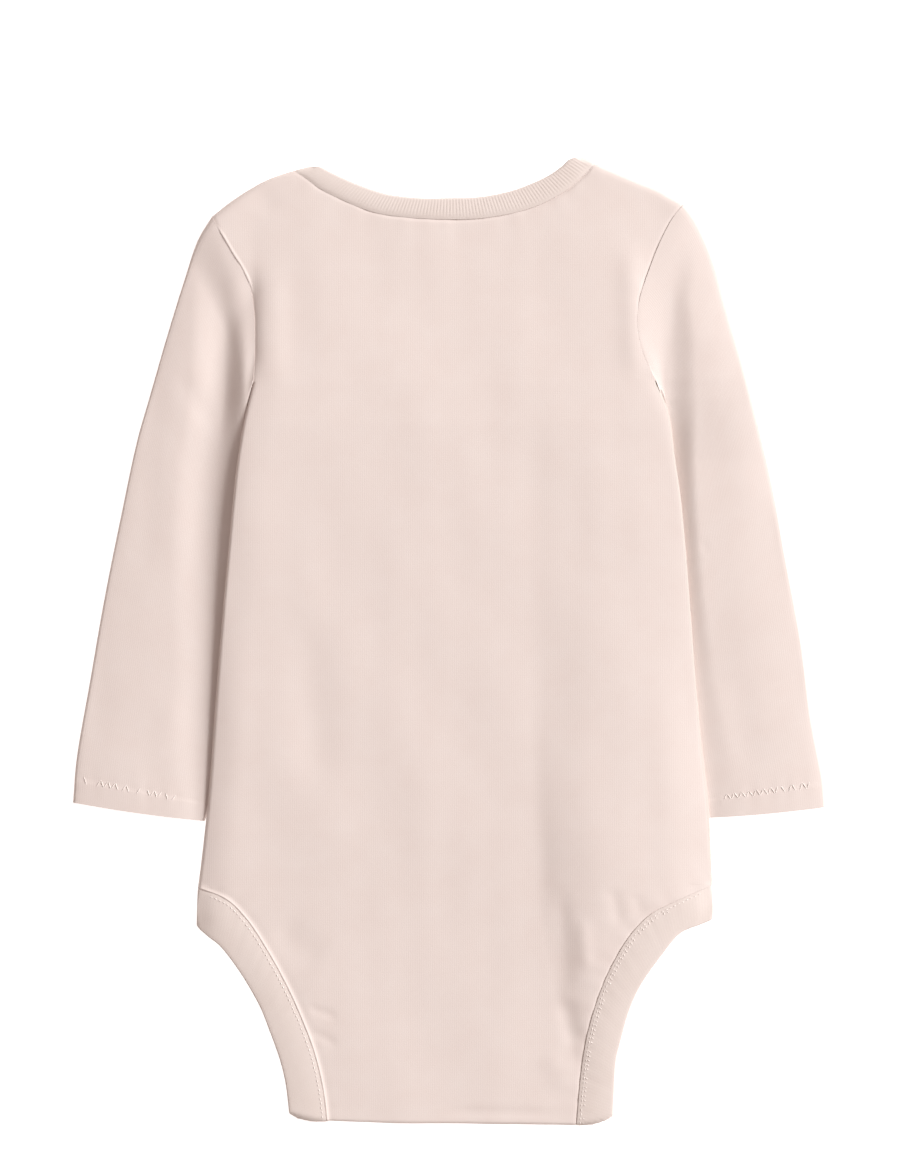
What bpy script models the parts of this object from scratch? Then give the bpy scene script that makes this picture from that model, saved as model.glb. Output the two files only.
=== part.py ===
# Long-sleeved baby bodysuit, laid flat on its front with its back up.
# Everything is worked out in millimetres and handed to Blender in metres.
# X runs across the garment, Y towards the neck and Z up; the origin is under the middle of its box.
# Left and right are the wearer's, so the left sleeve is at -X.
import bpy
import numpy as np

MM = 0.001

# Cloth and sewing sizes
WALL = 1.0               # one layer of interlock jersey
LEG_BAND_WALL = 1.5      # rib folded double round the legs
NECK_BAND_WALL = 1.6     # rib folded double round the neck
BAND_PROUD = 0.25        # how far a band stands above the back it is sewn to
BAND_RISE = 12.0         # and along its seam, where it comes up to that
SEAM_GAP = 0.3           # parting between two sewn pieces
HEM_DEPTH = 10.5         # turned hem of a sleeve
HEM_WALL = 1.15          # the wall there

# Heights of the layers
SHOULDER_FOLD_Z = 2.5    # middle of the shoulder fold
SLEEVE_FOLD_Z = 1.35     # middle of a sleeve's two folds, away from the armhole
FOLD_PARTING = 0.15      # half the flat that stands at the middle of such a fold
CROTCH_FOLD_Z = 3.9      # middle of the fold that turns the back under
FLAP_LENGTH = 23.0       # how far the back runs on under that fold
FRONT_FLAP_Z = 1.0       # the front flap lies this high, on its snaps
FRONT_FLAP_BAND_Z = 0.3  # and its bindings this high
FRONT_FLAP_RISE = (-170.0, -182.0)   # it rises between these two places on Y

# Body outline, as x and y from the shoulder down
ARMHOLE = {
    "left": ((-103.5, 184.5), (-100.5, 179.0), (-95.0, 169.5), (-90.0, 161.5), (-86.5, 153.5),
             (-85.0, 144.0), (-84.5, 129.0), (-85.0, 116.0), (-85.5, 111.5)),
    "right": ((102.5, 190.5), (97.5, 184.5), (92.0, 174.5), (85.5, 158.0), (82.5, 148.5),
              (81.5, 137.0), (83.5, 126.0), (87.0, 118.0), (90.0, 112.0)),
}
FRONT_ARMHOLE = {
    "left": ((-103.5, 184.5), (-99.0, 178.0), (-92.0, 167.0), (-86.0, 156.0), (-82.0, 145.0),
             (-80.5, 133.0), (-82.0, 121.0), (-85.5, 111.5)),
    "right": ((102.5, 190.5), (96.5, 183.0), (89.5, 172.0), (83.0, 158.0), (79.0, 146.0),
              (79.0, 133.0), (83.5, 121.5), (90.0, 112.0)),
}
SIDE = {   # side fold, from the underarm to where the leg binding is sewn on
    "left": ((-85.5, 111.5), (-89.0, 96.5), (-92.0, 79.0), (-96.5, 35.0), (-101.0, -17.0),
             (-105.0, -69.5), (-108.0, -96.0), (-109.5, -107.5)),
    "right": ((90.0, 112.0), (95.0, 99.5), (98.0, 79.0), (100.5, 61.5), (103.0, 35.0), (105.0, 9.0),
              (107.0, -17.0), (109.5, -43.5), (112.5, -69.5), (114.0, -95.5), (114.5, -106.0)),
}
SIDE_OF_BINDING = {   # the same fold across the leg binding
    "left": ((-109.5, -107.5), (-110.5, -113.0), (-111.0, -119.0), (-110.0, -124.5)),
    "right": ((114.5, -106.0), (115.5, -112.5), (116.0, -117.0), (114.5, -121.5)),
}
SHOULDER = {   # shoulder fold, from the armhole to where the neckband is sewn on
    "left": ((-103.5, 184.5), (-96.0, 190.5), (-87.0, 196.5), (-78.5, 201.0), (-68.0, 204.5)),
    "right": ((102.5, 190.5), (96.0, 194.0), (91.5, 196.5), (83.0, 200.0), (74.5, 203.5), (64.0, 208.0)),
}
SHOULDER_OF_NECKBAND = {   # the same fold across the neckband
    "left": ((-68.0, 204.5), (-64.5, 205.5), (-60.0, 206.5)),
    "right": ((64.0, 208.0), (61.0, 209.5), (57.0, 210.5)),
}
NECK_SEAM = {   # from the left shoulder to the right one
    "back": ((-68.0, 204.5), (-62.0, 200.5), (-56.5, 196.5), (-45.5, 191.0), (-32.5, 186.0),
             (-19.5, 184.0), (-2.0, 183.0), (14.0, 183.5), (28.5, 186.0), (39.5, 189.5),
             (50.5, 195.5), (57.5, 201.5), (64.0, 208.0)),
    "front": ((-68.0, 204.5), (-62.0, 194.0), (-55.0, 183.0), (-46.0, 172.0), (-33.0, 161.0),
              (-17.0, 154.5), (0.0, 153.0), (16.5, 155.5), (31.5, 163.5), (43.0, 174.5),
              (51.5, 186.0), (58.0, 197.0), (64.0, 208.0)),
}
NECK_EDGE = {
    "back": ((-60.0, 206.5), (-56.0, 206.0), (-52.0, 204.0), (-43.5, 200.0), (-34.5, 196.5),
             (-26.0, 194.0), (-13.0, 192.5), (0.0, 192.5), (13.5, 193.0), (26.5, 195.5),
             (35.0, 198.5), (43.5, 202.5), (48.5, 206.0), (52.5, 209.5), (57.0, 210.5)),
    "front": ((-60.0, 206.5), (-54.5, 198.5), (-47.5, 187.5), (-39.0, 177.5), (-28.0, 168.5),
              (-14.5, 163.0), (0.0, 162.0), (14.0, 164.0), (26.0, 170.5), (36.0, 180.0),
              (44.0, 190.5), (50.5, 201.5), (57.0, 210.5)),
}
LEG_SEAM = {   # from the side fold to the end of the flap, laid out before the back turns under
    "left": ((-109.5, -107.5), (-97.0, -112.5), (-88.0, -121.5), (-78.0, -137.0), (-70.0, -152.0),
             (-64.0, -165.5), (-59.5, -177.5), (-56.0, -191.0), (-54.0, -204.0), (-53.0, -220.0),
             (-52.5, -236.0)),
    "right": ((114.5, -106.0), (96.0, -114.0), (87.5, -118.5), (79.0, -127.0), (71.5, -139.0),
              (66.0, -151.0), (60.5, -168.5), (58.0, -181.5), (56.5, -194.5), (55.5, -207.0),
              (54.5, -220.0), (54.0, -236.0)),
}
LEG_EDGE = {
    "left": ((-110.0, -124.5), (-104.5, -129.0), (-100.0, -132.5), (-91.5, -143.5), (-82.5, -159.0),
             (-78.5, -169.0), (-74.0, -181.5), (-71.5, -191.5), (-70.0, -203.0), (-68.5, -220.0),
             (-67.5, -236.0)),
    "right": ((114.5, -121.5), (109.0, -123.5), (100.5, -127.0), (92.0, -137.0), (83.0, -150.0),
              (78.5, -160.0), (74.5, -174.0), (72.5, -183.0), (71.5, -200.0), (70.5, -220.0),
              (69.5, -236.0)),
}
FRONT_LEG_SEAM = {   # from the side fold to the end of the front flap
    "left": ((-109.5, -107.5), (-98.0, -110.5), (-84.0, -117.5), (-70.0, -129.0), (-59.5, -145.5),
             (-52.5, -164.0), (-49.0, -183.0), (-48.0, -203.0)),
    "right": ((114.5, -106.0), (101.5, -109.5), (87.5, -116.0), (73.5, -127.5), (62.5, -144.0),
              (55.5, -162.5), (52.0, -182.0), (51.0, -203.0)),
}
FRONT_LEG_EDGE = {
    "left": ((-110.0, -124.5), (-100.5, -126.0), (-90.0, -130.5), (-80.0, -139.0), (-72.0, -152.0),
             (-66.5, -168.0), (-63.0, -185.0), (-62.0, -203.0)),
    "right": ((114.5, -121.5), (104.0, -123.5), (93.5, -128.5), (83.5, -137.5), (75.5, -151.0),
              (69.5, -167.0), (66.5, -184.0), (65.0, -203.0)),
}
CROTCH_FOLD = ((-70.5, -205.0), (-66.0, -207.5), (-60.0, -208.7), (-53.5, -209.0), (-25.0, -209.8),
               (0.0, -210.0), (30.0, -210.2), (54.5, -210.7), (63.0, -210.0), (68.0, -208.5),
               (72.0, -206.0))

# Sleeve outlines, from the armhole to the cuff
OVERARM = {
    "left": ((-103.5, 184.5), (-109.5, 174.5), (-115.5, 157.0), (-123.5, 131.0), (-131.0, 105.0),
             (-136.0, 87.5), (-143.5, 52.5), (-150.5, 17.5), (-156.5, -17.0), (-162.5, -52.0),
             (-164.0, -70.5)),
    "right": ((102.5, 190.5), (107.5, 183.5), (115.0, 166.0), (120.0, 148.5), (125.0, 131.0),
              (132.0, 105.0), (140.5, 70.0), (147.0, 35.0), (153.5, 0.0), (158.0, -34.5),
              (163.0, -61.0), (164.0, -72.5)),
}
UNDERARM = {
    "left": ((-85.5, 111.5), (-89.0, 103.5), (-91.5, 94.0), (-93.3, 85.0), (-93.4, 76.0), (-92.5, 61.0),
             (-94.5, 35.0), (-97.0, 9.0), (-99.0, -17.0), (-101.0, -43.0), (-104.0, -70.0),
             (-106.5, -78.5)),
    "right": ((90.0, 112.0), (94.0, 103.5), (97.0, 94.5), (98.7, 85.0), (98.5, 74.5), (97.0, 62.0),
              (96.0, 48.0), (96.0, 33.0), (97.0, 9.0), (98.5, -17.0), (101.0, -43.0), (104.0, -65.0),
              (106.0, -77.5)),
}
CUFF_BOW = 0.6   # the cuff's edge bows out this far between its corners

# Heights of the body: y, back in the middle, back at the sides, front at the sides
BODY_LEVELS = (
    (206.0, 5.0, 5.0, 0.0),
    (150.0, 6.9, 6.3, 0.0),
    (112.0, 8.7, 8.0, 1.6),
    (94.0, 9.2, 8.5, 3.1),
    (50.0, 9.2, 8.5, 3.1),
    (10.0, 8.8, 7.8, 3.1),
    (-20.0, 8.4, 7.1, 3.1),
    (-60.0, 7.8, 6.3, 3.1),
    (-83.0, 7.3, 5.9, 3.1),
    (-107.0, 6.4, 5.0, 0.0),
    (-125.0, 5.9, 4.6, 0.0),
    (-160.0, 5.4, 4.9, 0.0),
    (-192.0, 5.3, 5.3, 0.0),
)
BACK_SIDE_REACH = {"left": 14.0, "right": 22.0}   # how far in the back slopes down to its sides
FRONT_SIDE_REACH = (12.0, 28.0)   # the front keeps its side height to here, and its middle height from here

# Heights of a sleeve's upper layer: y, x of the valley beside the body, valley, ridge, body side of
# the valley, and how far it is from the valley to the ridge and to the body side
SLEEVE_LEVELS = {
    "left": (
        (185.0, -102.0, 5.0, 5.0, 5.0, 10.0, 8.0),
        (170.0, -101.0, 4.6, 5.0, 5.3, 12.0, 9.0),
        (148.5, -98.0, 3.8, 5.0, 5.4, 14.0, 12.0),
        (131.0, -98.0, 3.4, 4.8, 6.2, 14.0, 12.5),
        (113.5, -98.2, 3.1, 4.6, 5.4, 15.0, 12.0),
        (105.0, -98.5, 2.9, 4.4, 3.8, 16.0, 11.0),
        (96.0, -99.5, 2.8, 4.3, 2.8, 16.0, 10.0),
        (78.5, -101.5, 2.7, 4.1, 2.7, 18.0, 8.0),
        (52.5, -103.0, 2.7, 4.0, 2.7, 18.0, 6.0),
        (17.5, -103.5, 3.0, 4.0, 2.7, 18.0, 5.0),
        (-17.0, -104.5, 3.4, 4.3, 2.7, 16.0, 4.0),
        (-52.0, -106.5, 3.8, 4.8, 2.7, 14.0, 3.0),
        (-70.0, -108.0, 4.0, 4.8, 2.7, 12.0, 3.0),
    ),
    "right": (
        (190.0, 103.0, 5.0, 5.0, 5.0, 8.0, 8.0),
        (174.5, 99.0, 4.9, 5.0, 5.3, 10.0, 8.0),
        (148.5, 96.0, 4.9, 5.2, 6.2, 9.0, 12.0),
        (131.0, 96.5, 4.2, 5.2, 6.6, 11.0, 12.0),
        (113.5, 97.0, 3.8, 5.1, 5.8, 11.0, 11.0),
        (105.0, 97.5, 3.4, 5.1, 3.9, 11.0, 9.0),
        (96.0, 98.0, 2.8, 5.1, 2.8, 11.0, 7.0),
        (78.5, 98.3, 2.7, 5.0, 2.7, 11.0, 5.0),
        (52.5, 99.5, 2.7, 4.9, 2.7, 11.0, 5.0),
        (17.5, 101.0, 2.7, 4.5, 2.7, 12.0, 5.0),
        (-17.0, 103.5, 2.7, 4.1, 2.7, 18.0, 5.0),
        (-52.0, 105.0, 2.7, 4.1, 2.7, 20.0, 5.0),
        (-70.0, 106.5, 2.7, 4.1, 2.7, 20.0, 5.0),
    ),
}
OVERARM_RISE = 30.0     # from the overarm fold up to the ridge's height
OVERARM_DROP = 1.2      # how much lower the sleeve's top is at that fold
SLEEVE_MERGE = 22.0     # along the sleeve, where it takes on its own heights
ARMHOLE_FADE = 70.0     # and where its rows stop following the armhole's curve

# Largest folds of the back: the line's two ends, its half width and its height
BACK_FOLDS = (
    # x0, y0, x1, y1, half width, height
    (-86.5, 166.0, -86.0, 108.0, 3.6, -1.1),    # the panel rolls down to the left armhole
    (-77.0, 168.0, -76.5, 106.0, 6.0, 0.35),
    (78.5, 176.0, 80.5, 108.0, 5.5, 0.8),       # ridge inside the right armhole
    (-62.0, 20.0, -57.0, -72.0, 9.0, -0.5),     # a faint trough at the left
)
# The long soft crease down the back: y, x where it starts to rise, how far it rises to the right,
# how far it falls again, and its height
LONG_CREASE = (
    (30.0, 38.0, 34.0, 60.0, 0.0),
    (-10.0, 37.5, 32.0, 60.0, 0.6),
    (-45.0, 37.5, 30.0, 60.0, 1.1),
    (-70.0, 38.5, 30.0, 60.0, 1.5),
    (-92.0, 39.5, 29.0, 60.0, 1.9),
    (-113.0, 41.0, 28.0, 60.0, 2.2),
    (-131.0, 44.0, 23.0, 60.0, 2.0),
    (-148.0, 46.5, 18.0, 50.0, 1.5),
    (-165.0, 50.0, 13.0, 30.0, 0.9),
    (-182.0, 55.0, 8.0, 20.0, 0.3),
    (-192.0, 58.0, 8.0, 20.0, 0.0),
)
FOLD_TAPER = 0.3        # the share of a fold's length over which it fades out at either end

# Snaps
SNAP_X = (-36.0, 1.5, 39.0)
SNAP_Y = -194.0
SNAP_PROFILE = ((4.3, 0.0), (4.9, 0.2), (4.9, 0.45), (4.4, 0.7))   # radius and height
SNAP_SIDES = 24

# Mesh spacing
ROLL_STEPS = (0.0, 0.134, 0.5, 1.0)   # where a rolled edge has its points, as shares of its radius
SIDE_ROLL = 1.9                       # radius taken for the side folds in this
LEAST_ROLL = 1.2                      # no fold of the body is rolled tighter
COLUMNS_OF_NECK = 9
NECK_SHARES = (0.18, 0.80)            # the neck's part of a panel's width
NECK_FADE = 170.0                     # down the side, where the rows stop following the neck's curve
SHOULDER_COLUMNS = [0.0, 0.0012, 0.0045, 0.009, 0.025, 0.055, 0.10, 0.145]   # shares of the width
ARMHOLE_ROWS = 7
LEG_ROWS = 7
TURN_ROWS = 6
SLEEVE_ROWS = (0.0, 2.0, 5.0, 9.0, 14.0, 20.0, 28.0, 38.0, 52.0, 70.0, 92.0, 118.0, 146.0, 174.0, 202.0,
               228.0)
BACK_SIDE_ROWS = (0.08, 0.2, 0.34, 0.48, 0.62, 0.76, 0.89, 1.0)   # shares of the way down the side fold
FRONT_SIDE_ROWS = (0.08, 0.3, 0.6, 0.89, 1.0)
CURVE_STEP = 0.4                      # spacing of the points that stand for a smooth curve


def smooth(share):
    share = np.clip(share, 0.0, 1.0)
    return share * share * (3.0 - 2.0 * share)


def arc(share):
    share = np.clip(share, 0.0, 1.0)
    return np.sqrt(1.0 - (1.0 - share) ** 2)


def crown(share):
    return 1.0 - (1.0 - np.clip(share, 0.0, 1.0)) ** 2


def column(table, index, y):
    """One column of a table of levels, read at y; the tables run down the garment."""
    rows = np.array(table)[::-1]
    return np.interp(y, rows[:, 0], rows[:, index])


class Curve:
    """A smooth plan curve through a few points, read by its length."""

    def __init__(self, points):
        points = np.array(points, dtype=float)
        ends = np.vstack([2 * points[0] - points[1], points, 2 * points[-1] - points[-2]])
        knots = np.concatenate([[0.0], np.cumsum(np.linalg.norm(np.diff(ends, axis=0), axis=1) ** 0.5)])
        dense = []
        for index in range(1, len(ends) - 2):
            before, start, stop, after = ends[index - 1:index + 3]
            k0, k1, k2, k3 = knots[index - 1:index + 3]
            steps = max(2, int(np.linalg.norm(stop - start) / CURVE_STEP))
            at = np.linspace(k1, k2, steps, endpoint=False)[:, None]
            a1 = (k1 - at) / (k1 - k0) * before + (at - k0) / (k1 - k0) * start
            a2 = (k2 - at) / (k2 - k1) * start + (at - k1) / (k2 - k1) * stop
            a3 = (k3 - at) / (k3 - k2) * stop + (at - k2) / (k3 - k2) * after
            b1 = (k2 - at) / (k2 - k0) * a1 + (at - k0) / (k2 - k0) * a2
            b2 = (k3 - at) / (k3 - k1) * a2 + (at - k1) / (k3 - k1) * a3
            dense.append((k2 - at) / (k2 - k1) * b1 + (at - k1) / (k2 - k1) * b2)
        self.points = np.vstack(dense + [points[-1:]])
        steps = np.linalg.norm(np.diff(self.points, axis=0), axis=1)
        self.lengths = np.concatenate([[0.0], np.cumsum(steps)])
        self.length = self.lengths[-1]

    def at(self, distance):
        return np.stack([np.interp(distance, self.lengths, self.points[:, k]) for k in (0, 1)], axis=-1)


def spaced(length, count, start_radius=0.0, stop_radius=0.0):
    """Distances along a curve, closer where a rolled edge is crossed at its start or stop."""
    first = [step * start_radius for step in ROLL_STEPS] if start_radius else [0.0]
    last = [length - step * stop_radius for step in ROLL_STEPS[::-1]] if stop_radius else [length]
    middle = np.linspace(first[-1], last[0], count + 2)[1:-1]
    return np.concatenate([first, middle, last])


# ---- heights ----

SHOULDER_RADIUS = BODY_LEVELS[0][1] - SHOULDER_FOLD_Z
CROTCH_RADIUS = BODY_LEVELS[-1][1] - CROTCH_FOLD_Z
SIDE_CURVE = {side: Curve(SIDE[side] + SIDE_OF_BINDING[side][1:]) for side in ("left", "right")}
SHOULDER_CURVE = {side: Curve(SHOULDER[side] + SHOULDER_OF_NECKBAND[side][1:]) for side in ("left", "right")}
CROTCH_LINE = np.array(CROTCH_FOLD)


def inside_side(x, y):
    """Distance from the nearer side fold, across the body."""
    gaps = []
    for side, sign in (("left", 1.0), ("right", -1.0)):
        line = SIDE_CURVE[side].points[::-1]
        gaps.append(sign * (x - np.interp(y, line[:, 1], line[:, 0])))
    return np.minimum(gaps[0], gaps[1])


def fold_relief(x, y):
    """Sum of the soft troughs and ridges of the back."""
    total = np.zeros_like(x)
    for x0, y0, x1, y1, half_width, height in BACK_FOLDS:
        run = np.array([x1 - x0, y1 - y0])
        length = np.linalg.norm(run)
        along = ((x - x0) * run[0] + (y - y0) * run[1]) / length
        across = ((x - x0) * run[1] - (y - y0) * run[0]) / length
        taper = smooth(along / (FOLD_TAPER * length)) * smooth((length - along) / (FOLD_TAPER * length))
        total += height * np.exp(-(across / half_width) ** 2) * taper
    start, rising, falling, height = (column(LONG_CREASE, index, y) for index in (1, 2, 3, 4))
    fall = smooth((x - start - rising) / falling)
    return total + height * crown((x - start) / rising) * (1 - fall)


def back_top(x, y):
    reach = np.where(x < 0, BACK_SIDE_REACH["left"], BACK_SIDE_REACH["right"])
    middle_share = crown(inside_side(x, y) / reach)
    level = column(BODY_LEVELS, 1, y) * middle_share + column(BODY_LEVELS, 2, y) * (1 - middle_share)
    return level + fold_relief(x, y)


def front_flap_share(y):
    start, stop = FRONT_FLAP_RISE
    return smooth((start - y) / (start - stop))


def front_bottom(x, y, flap_z=FRONT_FLAP_Z):
    start, stop = FRONT_SIDE_REACH
    side_share = smooth((stop - inside_side(x, y)) / (stop - start))
    return column(BODY_LEVELS, 3, y) * side_share + flap_z * front_flap_share(y)


def nearest_fold(x, y):
    """Distance to the nearest side or shoulder fold, the way out over it, and its height."""
    points = np.stack([x, y], axis=-1)
    best = np.full(x.shape, 1e9)
    outward = np.zeros(points.shape)
    height = np.zeros(x.shape)
    for kind, curves in (("side", SIDE_CURVE), ("shoulder", SHOULDER_CURVE)):
        for side, curve in curves.items():
            line = curve.points
            tangent = np.gradient(line, axis=0)
            normal = np.stack([tangent[:, 1], -tangent[:, 0]], axis=-1)
            normal /= np.linalg.norm(normal, axis=1)[:, None]
            if np.dot(normal[len(line) // 2], line[len(line) // 2] - np.array([0.0, 50.0])) < 0:
                normal = -normal
            if kind == "side":
                fold_z = (column(BODY_LEVELS, 2, line[:, 1]) + column(BODY_LEVELS, 3, line[:, 1])) / 2
            else:
                fold_z = np.full(len(line), SHOULDER_FOLD_Z)
            gaps = np.linalg.norm(points[..., None, :] - line, axis=-1)
            index = np.argmin(gaps, axis=-1)
            near = np.take_along_axis(gaps, index[..., None], axis=-1)[..., 0]
            past_end = (index == 0) | (index == len(line) - 1)
            across = np.sum((line[index] - points) * normal[index], axis=-1)
            distance = np.where(past_end, near, np.maximum(across, 0.0))
            closer = distance < best
            best = np.where(closer, distance, best)
            outward = np.where(closer[..., None], normal[index], outward)
            height = np.where(closer, fold_z[index], height)
    return best, outward, height


def slope(function, x, y, step=0.5):
    along_x = (function(x + step, y) - function(x - step, y)) / (2 * step)
    along_y = (function(x, y + step) - function(x, y - step)) / (2 * step)
    return along_x, along_y


def laid(plan, level, sign):
    """Outside points and outward normals of a layer of the body; sign is 1 for the back, -1 for the front."""
    x, y = plan[..., 0], plan[..., 1]
    distance, outward, fold_z = nearest_fold(x, y)
    edge_z = fold_z + sign * SEAM_GAP / 2
    flat_z = level(x, y)
    radius = np.maximum(np.abs(flat_z - edge_z), LEAST_ROLL)
    share = distance / radius
    z = edge_z + (flat_z - edge_z) * arc(share)
    along_x, along_y = slope(level, x, y)
    flat_normal = sign * np.stack([-along_x, -along_y, np.ones_like(x)], axis=-1)
    flat_normal /= np.linalg.norm(flat_normal, axis=-1)[..., None]
    rolled = np.clip(share, 0.0, 1.0)[..., None]
    sideways = np.concatenate([outward, np.zeros(x.shape + (1,))], axis=-1)
    normal = (1 - rolled) * sideways + arc(rolled) * flat_normal
    normal /= np.linalg.norm(normal, axis=-1)[..., None]
    return np.stack([x, y, z], axis=-1), normal


def turned_under(points, normals):
    """The end of the back, past the crotch fold, rolled round it and laid back underneath."""
    points, normals = points.copy(), normals.copy()
    fold_y = np.interp(points[..., 0], CROTCH_LINE[:, 0], CROTCH_LINE[:, 1])
    radius = np.maximum(points[..., 2] - CROTCH_FOLD_Z, WALL)
    past = fold_y + radius - points[..., 1]
    angle = np.clip(past / radius, 0.0, np.pi)
    straight = np.maximum(past - np.pi * radius, 0.0)
    turned = past > 0
    y = fold_y + radius - radius * np.sin(angle) + straight
    z = CROTCH_FOLD_Z + radius * np.cos(angle)
    points[..., 1] = np.where(turned, y, points[..., 1])
    points[..., 2] = np.where(turned, z, points[..., 2])
    rolled = np.stack([np.zeros_like(y), -np.sin(angle), np.cos(angle)], axis=-1)
    return points, np.where(turned[..., None], rolled, normals)


# ---- meshes ----

def fabric(name, colour, roughness, metallic=0.0):
    material = bpy.data.materials.new(name)
    material.use_nodes = True
    shader = material.node_tree.nodes["Principled BSDF"]
    shader.inputs["Base Color"].default_value = (*colour, 1.0)
    shader.inputs["Roughness"].default_value = roughness
    shader.inputs["Metallic"].default_value = metallic
    return material


def add_object(name, points, faces, material):
    mesh = bpy.data.meshes.new(name)
    mesh.from_pydata([tuple(point * MM) for point in points], [], faces)
    mesh.validate()
    mesh.shade_smooth()
    mesh.set_sharp_from_angle(angle=np.radians(40.0))
    mesh.materials.append(material)
    item = bpy.data.objects.new(name, mesh)
    bpy.context.scene.collection.objects.link(item)
    return item


def outward_faces(points, faces):
    """Turns every face over if the closed mesh is inside out."""
    volume = 0.0
    for face in faces:
        for index in range(1, len(face) - 1):
            a, b, c = points[face[0]], points[face[index]], points[face[index + 1]]
            volume += np.dot(a, np.cross(b, c))
    return faces if volume > 0 else [face[::-1] for face in faces]


def sheet_solid(name, outer, inner, material, ring=False):
    """A wall between two grids of points; with ring, its columns close into a tube."""
    rows, columns = outer.shape[:2]
    points = np.concatenate([outer.reshape(-1, 3), inner.reshape(-1, 3)])

    def corner(row, col, layer):
        return layer * rows * columns + row * columns + col % columns

    faces = []
    for row in range(rows - 1):
        for col in range(columns if ring else columns - 1):
            for layer in (0, 1):
                quad = [corner(row, col, layer), corner(row + 1, col, layer),
                        corner(row + 1, col + 1, layer), corner(row, col + 1, layer)]
                faces.append(quad if layer == 0 else quad[::-1])
    for row, turn in ((0, 1), (rows - 1, -1)):
        for col in range(columns if ring else columns - 1):
            quad = [corner(row, col, 0), corner(row, col + 1, 0),
                    corner(row, col + 1, 1), corner(row, col, 1)]
            faces.append(quad[::turn])
    if not ring:
        for col, turn in ((0, -1), (columns - 1, 1)):
            for row in range(rows - 1):
                quad = [corner(row, col, 0), corner(row + 1, col, 0),
                        corner(row + 1, col, 1), corner(row, col, 1)]
                faces.append(quad[::turn])
    return add_object(name, points, outward_faces(points, faces), material)


def band_solid(name, sections, material, closed):
    """A band through closed sections; it either meets itself or has two flat ends."""
    count, around = sections.shape[:2]
    points = sections.reshape(-1, 3)
    faces = []
    for row in range(count if closed else count - 1):
        for col in range(around):
            after = (row + 1) % count
            faces.append([row * around + col, after * around + col,
                          after * around + (col + 1) % around, row * around + (col + 1) % around])
    if not closed:
        faces.append(list(range(around)))
        faces.append([(count - 1) * around + col for col in range(around)][::-1])
    return add_object(name, points, outward_faces(points, faces), material)


def band_sections(seam, edge, surface, wall, lift):
    """Closed sections of a folded band, from its seam out to its rounded edge."""
    width = np.linalg.norm(edge - seam, axis=-1)[:, None]
    outward = (edge - seam) / width
    shares = (SEAM_GAP, width * 0.4, width * 0.75, width - wall / 2)
    plan = np.stack([seam + outward * share for share in shares], axis=1)
    outer, normal = surface(plan)
    outer = outer + normal * lift[:, None, None]
    inner = outer - normal * wall
    middle = (outer[:, -1] + inner[:, -1]) / 2
    reach = outer[:, -1] - outer[:, -2]
    reach /= np.linalg.norm(reach, axis=-1)[:, None]
    ends = []
    for angle in np.radians((45.0, 90.0, 135.0)):
        ends.append(middle + wall / 2 * (np.cos(angle) * normal[:, -1] + np.sin(angle) * reach))
    return np.concatenate([outer, np.stack(ends, axis=1), inner[:, ::-1]], axis=1)


# ---- body panels ----

def shares_across():
    """Places of the panel's columns over its shoulders, as shares of its width from the left."""
    return SHOULDER_COLUMNS, [1 - share for share in SHOULDER_COLUMNS[::-1]]


def neck_distances(curve):
    return spaced(curve.length, COLUMNS_OF_NECK, SHOULDER_RADIUS, SHOULDER_RADIUS)


def panel_plan(armhole, neck, legs, side_shares, leg_distances):
    """Plan points of a body panel: rows run across, from the shoulders and neck to the crotch."""
    left_shares, right_shares = shares_across()
    neck_curve = Curve(neck)
    shoulders = {side: Curve(SHOULDER[side]) for side in ("left", "right")}
    neck_start, neck_stop = NECK_SHARES
    neck_at = neck_distances(neck_curve)
    top = [shoulders["left"].at(np.array(left_shares) / neck_start * shoulders["left"].length),
           neck_curve.at(neck_at),
           shoulders["right"].at((1 - np.array(right_shares)) / (1 - neck_stop) * shoulders["right"].length)]
    top = np.vstack(top)
    middle_shares = neck_start + (neck_stop - neck_start) * neck_at / neck_curve.length
    shares = np.concatenate([left_shares, middle_shares, right_shares])

    edges = {}
    down = []
    for side in ("left", "right"):
        arm = Curve(armhole[side])
        side_curve = Curve(SIDE[side])
        leg = Curve(legs[side])
        arm_at = armhole_distances(arm)
        side_at = np.array(side_shares) * side_curve.length
        leg_at = leg_distances(leg)[1:]
        edges[side] = np.vstack([arm.at(arm_at), side_curve.at(side_at), leg.at(leg_at)])
        down.append(np.concatenate([arm_at, arm.length + side_at, arm.length + side_curve.length + leg_at]))
    across = shares[None, :, None]
    plan = edges["left"][:, None] * (1 - across) + edges["right"][:, None] * across
    straight = edges["left"][0] * (1 - shares[:, None]) + edges["right"][0] * shares[:, None]
    keep = 1 - smooth((down[0] + down[1]) / 2 / NECK_FADE)
    return plan + (top - straight)[None] * keep[:, None, None]


def armhole_distances(curve):
    return spaced(curve.length, ARMHOLE_ROWS, SHOULDER_RADIUS, SIDE_ROLL)


def back_leg_distances(curve):
    """Closer rows where the back turns under at the crotch."""
    fold_y = np.interp(curve.points[:, 0], CROTCH_LINE[:, 0], CROTCH_LINE[:, 1])
    start = np.interp(0.0, fold_y + CROTCH_RADIUS - curve.points[:, 1], curve.lengths)
    turn = start + np.pi * CROTCH_RADIUS * np.linspace(0, 1, TURN_ROWS)
    flap = turn[-1] + FLAP_LENGTH * np.array([0.5, 1.0])
    return np.concatenate([spaced(start, LEG_ROWS, SIDE_ROLL)[:-1], turn, flap])


def front_leg_distances(curve):
    return spaced(curve.length, LEG_ROWS - 1, SIDE_ROLL)


def back_surface(plan):
    return turned_under(*laid(plan, back_top, 1.0))


def front_surface(plan):
    return laid(plan, front_bottom, -1.0)


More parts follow.
